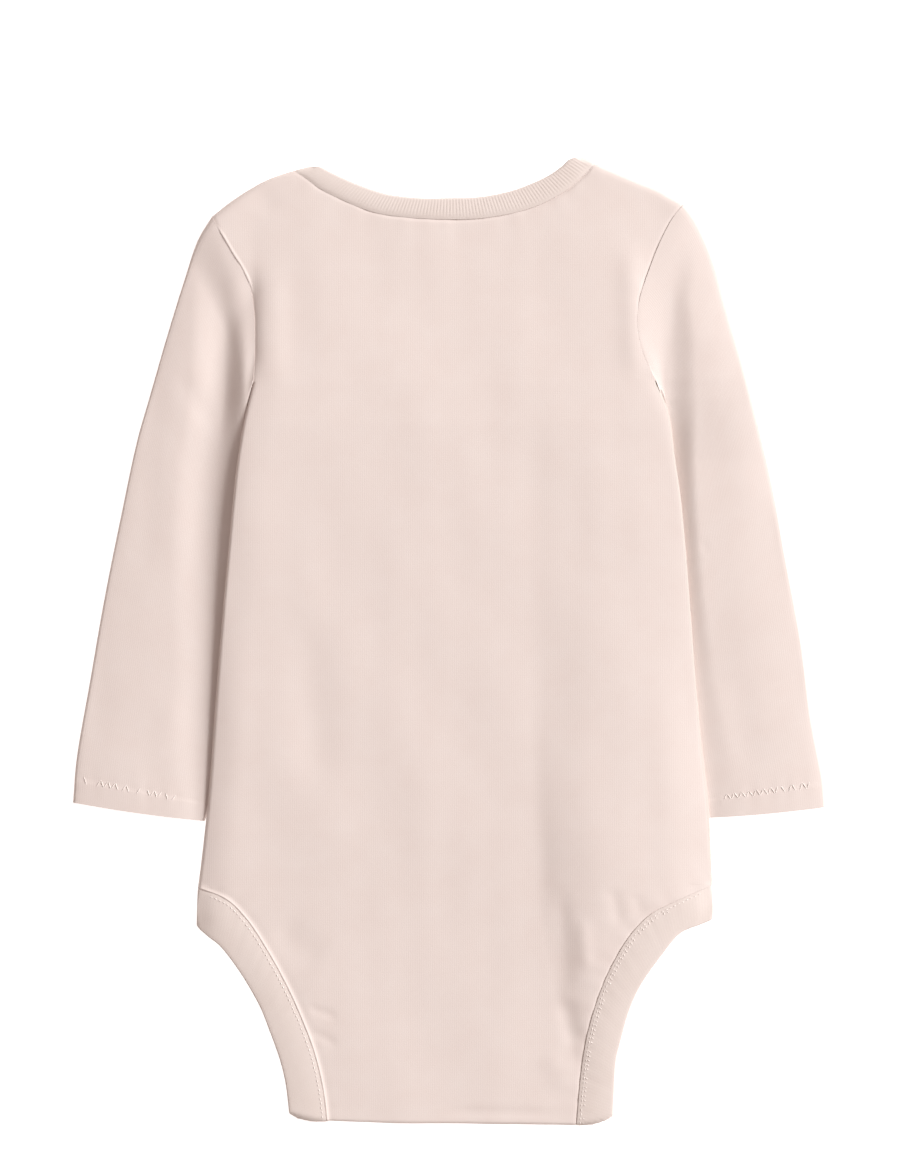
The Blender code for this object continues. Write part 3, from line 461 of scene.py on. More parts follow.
def gridFaces(rows, columns, ring):
    row = np.arange(rows - 1)[:, None]
    col = np.arange(columns if ring else columns - 1)[None, :]
    after = (col + 1) % columns
    quads = np.stack([row * columns + col, (row + 1) * columns + col,
                      (row + 1) * columns + after, row * columns + after], axis=-1)
    return quads.reshape(-1, 4)


def clothShell(name, outer, inner, material, place, ring=False):
    # a wall of cloth between two grids of points
    rows, columns = outer.shape[:2]
    count = rows * columns
    quads = gridFaces(rows, columns, ring)
    faces = [quads, quads[:, ::-1] + count]
    col = np.arange(columns if ring else columns - 1)
    after = (col + 1) % columns
    for row, turn in ((0, 1), (rows - 1, -1)):
        rim = np.stack([row * columns + col, row * columns + after,
                        row * columns + after + count, row * columns + col + count], axis=-1)
        faces.append(rim[:, ::turn])
    if not ring:
        row = np.arange(rows - 1)
        for edge, turn in ((0, -1), (columns - 1, 1)):
            rim = np.stack([row * columns + edge, (row + 1) * columns + edge,
                            (row + 1) * columns + edge + count, row * columns + edge + count], axis=-1)
            faces.append(rim[:, ::turn])
    points = np.concatenate([outer.reshape(-1, 3), inner.reshape(-1, 3)])
    places = np.concatenate([place.reshape(-1, 3)] * 2)
    return addPiece(name, points, np.concatenate(faces), material, places)


def bandShell(name, sections, material, place, closed):
    # a folded band through closed sections
    count, around = sections.shape[:2]
    row = np.arange(count if closed else count - 1)[:, None]
    col = np.arange(around)[None, :]
    nextRow, nextCol = (row + 1) % count, (col + 1) % around
    faces = [np.stack([row * around + col, nextRow * around + col,
                       nextRow * around + nextCol, row * around + nextCol], axis=-1).reshape(-1, 4)]
    if not closed:
        half = np.arange(around // 2 - 1)
        for base, turn in ((0, 1), ((count - 1) * around, -1)):
            cap = np.stack([base + half, base + half + 1,
                            base + around - 2 - half, base + around - 1 - half], axis=-1)
            faces.append(cap[:, ::turn])
    return addPiece(name, sections.reshape(-1, 3), np.concatenate(faces), material, place.reshape(-1, 3))


def threadMesh(name, paths, radius, material, sides=6):
    # many short lengths of thread as one mesh; each path is a row of points with its upward normals
    points, faces = [], []
    start = 0
    for line, normal in paths:
        count = len(line)
        along = np.gradient(line, axis=0)
        along /= np.linalg.norm(along, axis=1)[:, None]
        across = np.cross(along, normal)
        across /= np.linalg.norm(across, axis=1)[:, None]
        up = np.cross(across, along)
        taper = np.sqrt(np.clip(1 - np.linspace(-1, 1, count) ** 6, 0.0, 1.0))
        taper[[0, -1]] = 0.25
        angles = np.linspace(0, 2 * np.pi, sides, endpoint=False)
        ring = (np.cos(angles)[None, :, None] * across[:, None] + np.sin(angles)[None, :, None] * up[:, None])
        points.append((line[:, None] + radius * taper[:, None, None] * ring).reshape(-1, 3))
        quads = gridFaces(count, sides, True)
        half = np.arange(sides // 2 - 1)
        caps = [np.stack([half, half + 1, sides - 2 - half, sides - 1 - half], axis=-1),
                np.stack([half, half + 1, sides - 2 - half, sides - 1 - half], axis=-1)[:, ::-1]
                + (count - 1) * sides]
        faces.append(np.concatenate([quads] + caps) + start)
        start += count * sides
    return addPiece(name, np.concatenate(points), np.concatenate(faces), material)


knit = {
    "walePitch": 0.95,      # mm between columns of loops
    "coursePitch": 0.75,    # mm between rows of loops
    "loopHeight": 0.02,     # mm
    "napHeight": 0.05,
    "tone": (0.720, 0.643, 0.610),
    "toneDeep": (0.700, 0.612, 0.576),
    "ribTone": (0.696, 0.622, 0.586),
    "ribToneDeep": (0.668, 0.588, 0.548),
    "paintedShadeTone": (0.500, 0.455, 0.420),      # painted shade: darker colour on the right side's rim, which lights too brightly in this light
    "ribWalePitch": 1.5,
    "ribLoopHeight": 0.015,
    "roughness": 0.95,
    "sheen": 0.25,
    "sheenTint": (1.0, 0.85, 0.78),
}
thread = {
    "tone": (0.88, 0.83, 0.80),
    "toneDeep": (0.78, 0.71, 0.67),
    "plyScale": 900.0,      # twists to a metre
}


def addNode(tree, kind, x, y, **values):
    item = tree.nodes.new(kind)
    item.location = (x, y)
    for name, value in values.items():
        setattr(item, name, value)
    return item


def mathNode(tree, operation, x, y, first, second=None):
    item = addNode(tree, "ShaderNodeMath", x, y, operation=operation)
    for index, value in enumerate((first, second)):
        if value is None:
            continue
        if isinstance(value, (int, float)):
            item.inputs[index].default_value = value
        else:
            tree.links.new(value, item.inputs[index])
    return item.outputs[0]


def knitGroup():
    # loops of knitted jersey with its nap; Place is where on the cloth, in millimetres
    group = bpy.data.node_groups.new("knitLoops", "ShaderNodeTree")
    face = group.interface
    face.new_socket("Place", in_out="INPUT", socket_type="NodeSocketVector")
    for name, value in (("Wale Pitch", 1.0), ("Course Pitch", 1.0),
                        ("Loop Height", 0.05), ("Nap Height", 0.05)):
        face.new_socket(name, in_out="INPUT", socket_type="NodeSocketFloat").default_value = value
    face.new_socket("Height", in_out="OUTPUT", socket_type="NodeSocketFloat")
    face.new_socket("Mottle", in_out="OUTPUT", socket_type="NodeSocketFloat")
    enter = addNode(group, "NodeGroupInput", -1200, 0)
    leave = addNode(group, "NodeGroupOutput", 700, 0)
    place = enter.outputs["Place"]
    split = addNode(group, "ShaderNodeSeparateXYZ", -1000, 150)
    group.links.new(place, split.inputs[0])
    wale = mathNode(group, "DIVIDE", -800, 250, split.outputs["X"], enter.outputs["Wale Pitch"])
    waleFold = mathNode(group, "MULTIPLY", -440, 250, mathNode(group, "PINGPONG", -620, 250, wale, 0.5), 2.0)
    course = mathNode(group, "DIVIDE", -800, 80, split.outputs["Y"], enter.outputs["Course Pitch"])
    slanted = mathNode(group, "ADD", -260, 80, course, mathNode(group, "MULTIPLY", -440, 80, waleFold, 0.5))
    courseFold = mathNode(group, "MULTIPLY", 60, 80, mathNode(group, "PINGPONG", -100, 80, slanted, 0.5), 2.0)
    rounded = mathNode(group, "POWER", -100, 250, waleFold, 0.6)
    courseShare = mathNode(group, "MULTIPLY", 60, -60, courseFold, 0.45)
    raised = mathNode(group, "ADD", 220, 60, courseShare, 0.55)
    loops = mathNode(group, "MULTIPLY", 220, 200, rounded, raised)
    fuzz = addNode(group, "ShaderNodeTexNoise", -800, -200)
    fuzz.inputs["Scale"].default_value = 2.2
    fuzz.inputs["Detail"].default_value = 4.0
    fuzz.inputs["Roughness"].default_value = 0.65
    group.links.new(place, fuzz.inputs["Vector"])
    blotch = addNode(group, "ShaderNodeTexNoise", -800, -450)
    blotch.inputs["Scale"].default_value = 0.07
    blotch.inputs["Detail"].default_value = 5.0
    blotch.inputs["Roughness"].default_value = 0.6
    group.links.new(place, blotch.inputs["Vector"])
    loopPart = mathNode(group, "MULTIPLY", 400, 200, loops, enter.outputs["Loop Height"])
    napPart = mathNode(group, "MULTIPLY", 400, -100, fuzz.outputs["Fac"], enter.outputs["Nap Height"])
    group.links.new(mathNode(group, "ADD", 560, 50, loopPart, napPart), leave.inputs["Height"])
    fuzzShare = mathNode(group, "MULTIPLY", 220, -300, fuzz.outputs["Fac"], 0.45)
    blotchShare = mathNode(group, "MULTIPLY", 220, -450, blotch.outputs["Fac"], 0.55)
    mottle = mathNode(group, "ADD", 400, -350, fuzzShare, blotchShare)
    group.links.new(mottle, leave.inputs["Mottle"])
    return group


def jerseyMaterial(name, group, tone, toneDeep, walePitch, coursePitch, loopHeight):
    material = bpy.data.materials.new(name)
    material.use_nodes = True
    tree = material.node_tree
    shader = tree.nodes["Principled BSDF"]
    place = addNode(tree, "ShaderNodeAttribute", -900, 0, attribute_name="clothPlace")
    loops = addNode(tree, "ShaderNodeGroup", -700, 0, node_tree=group)
    tree.links.new(place.outputs["Vector"], loops.inputs["Place"])
    loops.inputs["Wale Pitch"].default_value = walePitch
    loops.inputs["Course Pitch"].default_value = coursePitch
    loops.inputs["Loop Height"].default_value = loopHeight
    loops.inputs["Nap Height"].default_value = knit["napHeight"]
    ramp = addNode(tree, "ShaderNodeValToRGB", -450, 200)
    ramp.color_ramp.elements[0].position = 0.35
    ramp.color_ramp.elements[0].color = (*toneDeep, 1.0)
    ramp.color_ramp.elements[1].position = 0.65
    ramp.color_ramp.elements[1].color = (*tone, 1.0)
    tree.links.new(loops.outputs["Mottle"], ramp.inputs["Fac"])
    # painted shade: the base colour is mixed toward a darker tone where the rim shade mask is set
    fold = addNode(tree, "ShaderNodeAttribute", -450, 420, attribute_name="paintedRimShade")
    shadedColour = addNode(tree, "ShaderNodeMix", -180, 250, data_type="RGBA")
    tree.links.new(fold.outputs["Fac"], shadedColour.inputs[0])
    tree.links.new(ramp.outputs["Color"], shadedColour.inputs[6])
    shadedColour.inputs[7].default_value = (*knit["paintedShadeTone"], 1.0)
    tree.links.new(shadedColour.outputs[2], shader.inputs["Base Color"])
    bump = addNode(tree, "ShaderNodeBump", -300, -250)
    bump.inputs["Strength"].default_value = 1.0
    bump.inputs["Distance"].default_value = mm
    tree.links.new(loops.outputs["Height"], bump.inputs["Height"])
    tree.links.new(bump.outputs["Normal"], shader.inputs["Normal"])
    shader.inputs["Roughness"].default_value = knit["roughness"]
    shader.inputs["Specular IOR Level"].default_value = 0.25
    shader.inputs["Sheen Weight"].default_value = knit["sheen"]
    shader.inputs["Sheen Roughness"].default_value = 0.5
    shader.inputs["Sheen Tint"].default_value = (*knit["sheenTint"], 1.0)
    return material


def threadMaterial():
    material = bpy.data.materials.new("sewingThread")
    material.use_nodes = True
    tree = material.node_tree
    shader = tree.nodes["Principled BSDF"]
    place = addNode(tree, "ShaderNodeTexCoord", -900, 0)
    ply = addNode(tree, "ShaderNodeTexWave", -650, 0, wave_type="BANDS", bands_direction="DIAGONAL")
    ply.inputs["Scale"].default_value = thread["plyScale"]
    tree.links.new(place.outputs["Object"], ply.inputs["Vector"])
    ramp = addNode(tree, "ShaderNodeValToRGB", -400, 100)
    ramp.color_ramp.elements[0].color = (*thread["toneDeep"], 1.0)
    ramp.color_ramp.elements[1].color = (*thread["tone"], 1.0)
    tree.links.new(ply.outputs["Fac"], ramp.inputs["Fac"])
    tree.links.new(ramp.outputs["Color"], shader.inputs["Base Color"])
    bump = addNode(tree, "ShaderNodeBump", -300, -200)
    bump.inputs["Distance"].default_value = 0.04 * mm
    tree.links.new(ply.outputs["Fac"], bump.inputs["Height"])
    tree.links.new(bump.outputs["Normal"], shader.inputs["Normal"])
    shader.inputs["Roughness"].default_value = 0.6
    return material


def snapMaterial():
    material = bpy.data.materials.new("snapNickel")
    material.use_nodes = True
    tree = material.node_tree
    shader = tree.nodes["Principled BSDF"]
    place = addNode(tree, "ShaderNodeTexCoord", -900, 0)
    scuffs = addNode(tree, "ShaderNodeTexNoise", -650, 0)
    scuffs.inputs["Scale"].default_value = 900.0
    scuffs.inputs["Detail"].default_value = 6.0
    tree.links.new(place.outputs["Object"], scuffs.inputs["Vector"])
    ramp = addNode(tree, "ShaderNodeValToRGB", -400, 100)
    ramp.color_ramp.elements[0].color = (0.22, 0.22, 0.22, 1.0)
    ramp.color_ramp.elements[1].color = (0.42, 0.42, 0.42, 1.0)
    tree.links.new(scuffs.outputs["Fac"], ramp.inputs["Fac"])
    tree.links.new(ramp.outputs["Color"], shader.inputs["Roughness"])
    shader.inputs["Base Color"].default_value = (0.76, 0.75, 0.73, 1.0)
    shader.inputs["Metallic"].default_value = 1.0
    return material


print("finishes")
loopsGroup = knitGroup()
interlockJersey = jerseyMaterial("interlockJersey", loopsGroup, knit["tone"], knit["toneDeep"],
                                 knit["walePitch"], knit["coursePitch"], knit["loopHeight"])
ribJersey = jerseyMaterial("ribJersey", loopsGroup, knit["ribTone"], knit["ribToneDeep"],
                           knit["ribWalePitch"], knit["coursePitch"], knit["ribLoopHeight"])
sewingThread = threadMaterial()
snapNickel = snapMaterial()


backPanel = {
    "armholeRows": 42,
    "sideRows": 126,
    "legRows": 66,
    "turnRows": 14,
    "flapLength": 23.0,
    "flapRows": 12,
    "shoulderColumns": 18,
    "neckColumns": 74,
    "ditch": 0.55,          # how deep the cloth dips where it is sewn to a band
    "ditchWidth": 0.9,
    "lip": 0.35,            # how proud the seam stands where it stands proud
    "paintedShadeStrip": 0.7,       # painted shade: the strip along the right side fold that is darkened
    "paintedShadeFade": 1.0,
    "underarmY": 113.0,
    "puckers": {   # pitch, height, reach, seed
        "neck": (5.0, 0.10, 5.0, 3),
        "legLeft": (4.5, 0.10, 6.0, 4),
        "legRight": (4.5, 0.12, 7.0, 5),
        "armholeLeft": (6.0, 0.08, 5.0, 6),
        "armholeRight": (6.0, 0.08, 5.0, 7),
    },
    "creases": (
        # x0, y0, x1, y1, half width, height
        (47.5, -104.0, 51.5, -158.0, 4.0, -0.45),
        (70.0, -106.0, 74.5, -124.0, 2.6, -0.3),
        (80.5, -109.0, 83.5, -120.0, 2.0, -0.2),
        (50.0, -154.0, 55.5, -178.0, 4.0, -0.5),
        (42.0, -176.0, 52.0, -196.0, 6.0, 0.35),
        (-77.0, -124.0, -54.0, -141.0, 8.0, -0.4),
        (-62.0, -159.5, -48.0, -163.5, 1.6, -0.28),
        (-61.0, -169.5, -48.0, -175.5, 1.8, -0.25),
        (-6.0, -204.5, 50.0, -205.5, 1.7, -0.35),
        (-84.0, 199.0, -76.0, 184.0, 5.0, -0.25),
        (57.0, -118.0, 60.0, -146.0, 3.0, 0.35),
    ),
    "unrest": {"seed": 11, "layers": ((34.0, 80.0, 0.6, 0.11, 9), (15.0, 30.0, 0.5, 0.03, 9))},
}
frontPanel = {
    "armholeRows": 30,
    "sideRows": 90,
    "legRows": 60,
    "shoulderColumns": 12,
    "neckColumns": 56,
    "creases": (
        (-30.0, 90.0, -22.0, -40.0, 9.0, 0.7),
        (28.0, 60.0, 40.0, -70.0, 8.0, 0.6),
        (-62.0, -110.0, -30.0, -150.0, 6.0, 0.6),
        (60.0, -112.0, 28.0, -158.0, 6.0, 0.5),
        (-8.0, 140.0, 6.0, 60.0, 10.0, 0.5),
    ),
    "unrest": {"seed": 23, "layers": ((34.0, 80.0, 0.6, 0.12, 9),)},
}


panelGrid = {   # shares of the width from the left
    "sideRoll": 0.009,
    "neckStart": 0.18,
    "neckStop": 0.80,
    "topReach": 170.0,      # mm down over which the shoulders' and the neck's shape fades
}


def panelPlan(armhole, neck, legs, sideShares, legSteps, armholeRows, shoulderColumns, neckColumns):
    # rows run across, from the shoulders and the neck down to the crotch
    roll = np.array(cloth["rollSteps"]) * panelGrid["sideRoll"]
    neckStart, neckStop = panelGrid["neckStart"], panelGrid["neckStop"]
    inner = np.linspace(roll[-1], neckStart, shoulderColumns + 2)[1:-1]
    leftShares = np.concatenate([roll, inner])
    rightInner = np.linspace(roll[-1], 1 - neckStop, shoulderColumns + 2)[1:-1]
    rightShares = 1 - np.concatenate([roll, rightInner])[::-1]
    neckAt = spaced(neck["length"], neckColumns, shoulderRadius, shoulderRadius)
    shoulders = {side: planCurve(shoulderLine[side]) for side in ("left", "right")}
    leftTop = curveAt(shoulders["left"], leftShares / neckStart * shoulders["left"]["length"])
    rightTop = curveAt(shoulders["right"], (1 - rightShares) / (1 - neckStop) * shoulders["right"]["length"])
    top = np.vstack([leftTop, curveAt(neck, neckAt), rightTop])
    middleShares = neckStart + (neckStop - neckStart) * neckAt / neck["length"]
    shares = np.concatenate([leftShares, middleShares, rightShares])
    edges, down = {}, []
    for side in ("left", "right"):
        arm, flank, leg = planCurve(armhole[side]), planCurve(sideLine[side]), planCurve(legs[side])
        armAt = spaced(arm["length"], armholeRows, shoulderRadius, cloth["sideRoll"])
        flankAt = sideShares * flank["length"]
        legAt = legSteps(leg)[1:]
        edges[side] = np.vstack([curveAt(arm, armAt), curveAt(flank, flankAt), curveAt(leg, legAt)])
        down.append(np.concatenate([armAt, arm["length"] + flankAt, arm["length"] + flank["length"] + legAt]))
    across = shares[None, :, None]
    plan = edges["left"][:, None] * (1 - across) + edges["right"][:, None] * across
    straight = edges["left"][0] * (1 - shares[:, None]) + edges["right"][0] * shares[:, None]
    keep = 1 - smooth((down[0] + down[1]) / 2 / panelGrid["topReach"])
    return plan + (top - straight)[None] * keep[:, None, None]


def backLegSteps(curve, rows=None, turnRows=None, flapRows=None):
    # closer rows where the back turns under
    rows = backPanel["legRows"] if rows is None else rows
    turnRows = backPanel["turnRows"] if turnRows is None else turnRows
    flapRows = backPanel["flapRows"] if flapRows is None else flapRows
    line = curve["points"]
    foldY = np.interp(line[:, 0], crotchLine[:, 0], crotchLine[:, 1])
    radius = cloth["crotchTopZ"] - cloth["crotchFoldZ"]
    start = np.interp(0.0, foldY + radius - line[:, 1], curve["lengths"])
    turn = start + np.pi * radius * np.linspace(0, 1, turnRows)
    flap = turn[-1] + backPanel["flapLength"] * np.linspace(0, 1, flapRows + 1)[1:]
    return np.concatenate([spaced(start, rows, cloth["sideRoll"])[:-1], turn, flap])


def seamRelief(x, y):
    # where the back is sewn: a dip beside a band, or the proud edge of a seam
    total = np.zeros_like(x)
    ditch, width, lip = backPanel["ditch"], backPanel["ditchWidth"], backPanel["lip"]
    gathers = backPanel["puckers"]
    away, along, _ = closestOn(neckSeamCurve["back"], x, y)
    total -= 0.6 * ditch * bell(away, width) * (0.4 + 0.6 * smooth((x + 45.0) / 35.0))
    total += puckers(along, away, *gathers["neck"])
    away, along, _ = closestOn(legSeamCurve["left"], x, y)
    total += 0.85 * lip * bell(away - 0.5, 0.42) - 0.06 * bell(away - 2.2, 1.2)
    total += puckers(along, away, *gathers["legLeft"])
    away, along, _ = closestOn(legSeamCurve["right"], x, y)
    shown = smooth((105.0 - x) / 20.0)
    total -= 0.45 * ditch * bell(away, 0.6) * shown
    total += puckers(along, away, *gathers["legRight"])
    away, along, _ = closestOn(armholeCurve["left"], x, y)
    upper = smooth((along - 3.0) / 8.0) * smooth((42.0 - along) / 12.0)
    total += 0.24 * bell(away - 0.45, 0.4) * upper - 0.4 * ditch * bell(away, width) * (1 - upper)
    total += puckers(along, away, *gathers["armholeLeft"])
    away, along, _ = closestOn(armholeCurve["right"], x, y)
    total -= 0.2 * bell(away, width) * smooth((60.0 - along) / 25.0)
    total += puckers(along, away, *gathers["armholeRight"])
    return total


def makeBackPanel():
    sideShares = np.linspace(0, 1, backPanel["sideRows"] + 1)[1:]
    plan = panelPlan(armholeLine, neckSeamCurve["back"], legSeamLine, sideShares, backLegSteps,
                     backPanel["armholeRows"], backPanel["shoulderColumns"], backPanel["neckColumns"])
    x, y = plan[..., 0], plan[..., 1]
    base, normal = backSurface(plan)
    distance, _, _, beside = foldPlace(x, y)
    edgeFade = smooth(distance / cloth["creaseFade"])
    relief = (foldSum(backPanel["creases"], x, y) + unrest(x, y, backPanel["unrest"])) * edgeFade
    relief += seamRelief(x, y)
    outer = base + normal * relief[..., None]
    inner = base - normal * cloth["wall"]
    place = np.stack([x, y, np.zeros_like(x)], axis=-1)
    panel = clothShell("backPanelCloth", outer, inner, interlockJersey, place)
    # painted shade along the right side fold below the underarm, where the rim lights too brightly
    strip = 1 - smooth((distance - backPanel["paintedShadeStrip"]) / backPanel["paintedShadeFade"])
    folded = strip * (beside & (x > 0) & (y < backPanel["underarmY"]))
    stored = panel.data.attributes.new("paintedRimShade", "FLOAT", "POINT")
    stored.data.foreach_set("value", np.concatenate([folded.ravel()] * 2).astype(np.float32))
    return panel


def makeFrontPanel():
    sideShares = np.linspace(0, 1, frontPanel["sideRows"] + 1)[1:]
    plan = panelPlan(frontArmholeLine, neckSeamCurve["front"], frontLegSeamLine, sideShares,
                     lambda curve: spaced(curve["length"], frontPanel["legRows"], cloth["sideRoll"]),
                     frontPanel["armholeRows"], frontPanel["shoulderColumns"], frontPanel["neckColumns"])
    x, y = plan[..., 0], plan[..., 1]
    base, normal = frontSurface(plan)
    edgeFade = smooth(foldPlace(x, y)[0] / cloth["creaseFade"])
    relief = foldSum(frontPanel["creases"], x, y) + np.maximum(unrest(x, y, frontPanel["unrest"]), 0.0)
    outer = base - normal * (relief * edgeFade)[..., None]
    inner = base - normal * (cloth["wall"] + relief * edgeFade)[..., None]
    place = np.stack([x, y, np.full_like(x, 40.0)], axis=-1)
    return clothShell("frontPanelCloth", outer, inner, interlockJersey, place)


print("body panels")
backPanelCloth = makeBackPanel()
frontPanelCloth = makeFrontPanel()


sleeve = {
    "foldZ": 1.35,
    "foldParting": 0.15,
    "overarmRise": 30.0,
    "overarmDrop": 1.2,     # the top of a sleeve slopes down to its outer fold
    "merge": 22.0,
    "leanRows": 8.0,
    "armholeFade": 70.0,
    "hemDepth": 10.5,
    "hemWall": 1.15,
    "cuffBow": 0.6,
    "firstRows": (0.0, 0.4, 0.9),
    "hemRows": (0.06, 0.14, 0.3, 0.5, 0.7, 0.85, 0.94, 1.0),    # shares of the hem's depth
    "hemRise": 0.08,
    "hemDip": 0.10,
    "hemPuckers": (4.0, 0.10, 4.0, 41),     # pitch, height, reach, seed
    "gapTaper": 0.8,        # how much of the sewn gap is closed by the underarm
    "rowStep": 1.7,
    "aroundColumns": 34,
    "levels": {   # y, x of the valley, its height, ridge, body side, reach to the ridge and the body side
        "left": (
            (185.0, -102.0, 5.0, 5.0, 5.0, 10.0, 8.0),
            (170.0, -101.0, 4.6, 5.0, 5.3, 12.0, 9.0),
            (148.5, -98.0, 3.8, 5.0, 5.5, 14.0, 12.0),
            (131.0, -98.0, 3.2, 4.8, 6.7, 14.0, 12.0),
            (113.5, -98.2, 2.7, 4.6, 7.3, 15.0, 11.0),
            (105.0, -98.5, 2.6, 4.4, 7.3, 16.0, 10.5),
            (96.0, -99.5, 2.6, 4.3, 6.2, 16.0, 10.5),
            (87.5, -100.5, 2.7, 4.2, 4.4, 17.0, 10.0),
            (78.5, -101.5, 2.7, 4.1, 3.1, 18.0, 9.0),
            (52.5, -103.0, 2.7, 4.0, 2.8, 18.0, 6.0),
            (17.5, -103.5, 3.0, 4.0, 2.8, 18.0, 6.0),
            (-17.0, -104.5, 3.5, 4.3, 2.9, 16.0, 5.0),
            (-52.0, -106.5, 4.0, 4.8, 3.0, 14.0, 4.0),
            (-70.0, -107.5, 4.2, 4.8, 3.0, 12.0, 4.0),
        ),
        "right": (
            (190.0, 103.0, 5.0, 5.0, 5.0, 8.0, 8.0),
            (174.5, 99.0, 5.5, 5.7, 5.6, 10.0, 8.0),
            (148.5, 96.0, 6.0, 6.8, 6.3, 9.0, 12.0),
            (131.0, 96.0, 6.6, 7.8, 6.9, 11.0, 12.0),
            (113.5, 96.0, 6.8, 8.1, 7.4, 11.0, 11.0),
            (105.0, 95.8, 6.4, 7.8, 7.3, 11.5, 9.0),
            (96.0, 95.5, 5.2, 7.2, 6.2, 12.0, 7.0),
            (87.5, 95.2, 3.7, 6.6, 4.4, 12.0, 6.0),
            (78.5, 95.0, 2.8, 6.1, 2.9, 12.0, 5.0),
            (52.5, 96.8, 2.7, 6.0, 2.7, 11.5, 5.0),
            (17.5, 99.5, 2.7, 5.3, 2.7, 11.5, 5.0),
            (-17.0, 102.0, 2.7, 4.3, 2.7, 14.0, 5.0),
            (-52.0, 104.0, 2.7, 4.1, 2.7, 20.0, 5.0),
            (-70.0, 105.5, 2.7, 4.1, 2.7, 20.0, 5.0),
        ),
    },
    "creases": {
        "left": (
            (-128.0, 80.0, -134.0, 20.0, 7.0, -0.25),
            (-118.0, 118.0, -104.0, 92.0, 5.0, -0.25),
            (-120.0, -20.0, -128.0, -60.0, 6.0, 0.2),
        ),
        "right": (
            (109.0, 45.0, 112.0, 37.0, 1.8, -0.12),
            (122.0, 110.0, 132.0, 50.0, 8.0, 0.2),
            (124.0, -10.0, 132.0, -60.0, 7.0, -0.2),
        ),
    },
    "unrest": {"left": {"seed": 31, "layers": ((30.0, 70.0, 0.5, 0.10, 8), (12.0, 26.0, 0.5, 0.03, 8))},
               "right": {"seed": 37, "layers": ((30.0, 70.0, 0.5, 0.10, 8), (12.0, 26.0, 0.5, 0.03, 8))}},
}


def sleeveTop(side, x, y, fromOverarm):
    table = sleeve["levels"][side]
    away = (column(table, 1, y) - x) * (1.0 if side == "left" else -1.0)
    valley, ridge, inner, outReach, inReach = (column(table, index, y) for index in (2, 3, 4, 5, 6))
    outside = valley + (ridge - valley) * smooth(away / outReach)
    besideBody = valley + (inner - valley) * smooth(-away / inReach)
    level = np.where(away > 0, outside, besideBody)
    return level - sleeve["overarmDrop"] * (1 - crown(fromOverarm / sleeve["overarmRise"]))


def armholeRing(side, armhole, surface):
    curve = planCurve(armhole[side])
    steps = spaced(curve["length"], sleeve["aroundColumns"], shoulderRadius, cloth["sideRoll"])
    plan = curveAt(curve, steps)
    points, normals = surface(plan)
    tangent = np.gradient(points, axis=0)
    outward = np.cross(normals, tangent)
    outward /= np.linalg.norm(outward, axis=-1)[:, None]
    sign = -1.0 if side == "left" else 1.0
    outward *= sign * np.sign(outward[len(outward) // 2, 0])
    gap = cloth["sewnGap"] * (1 - sleeve["gapTaper"] * smooth(np.linspace(-3.0, 1.0, len(points))))
    return points + outward * gap[:, None], normals


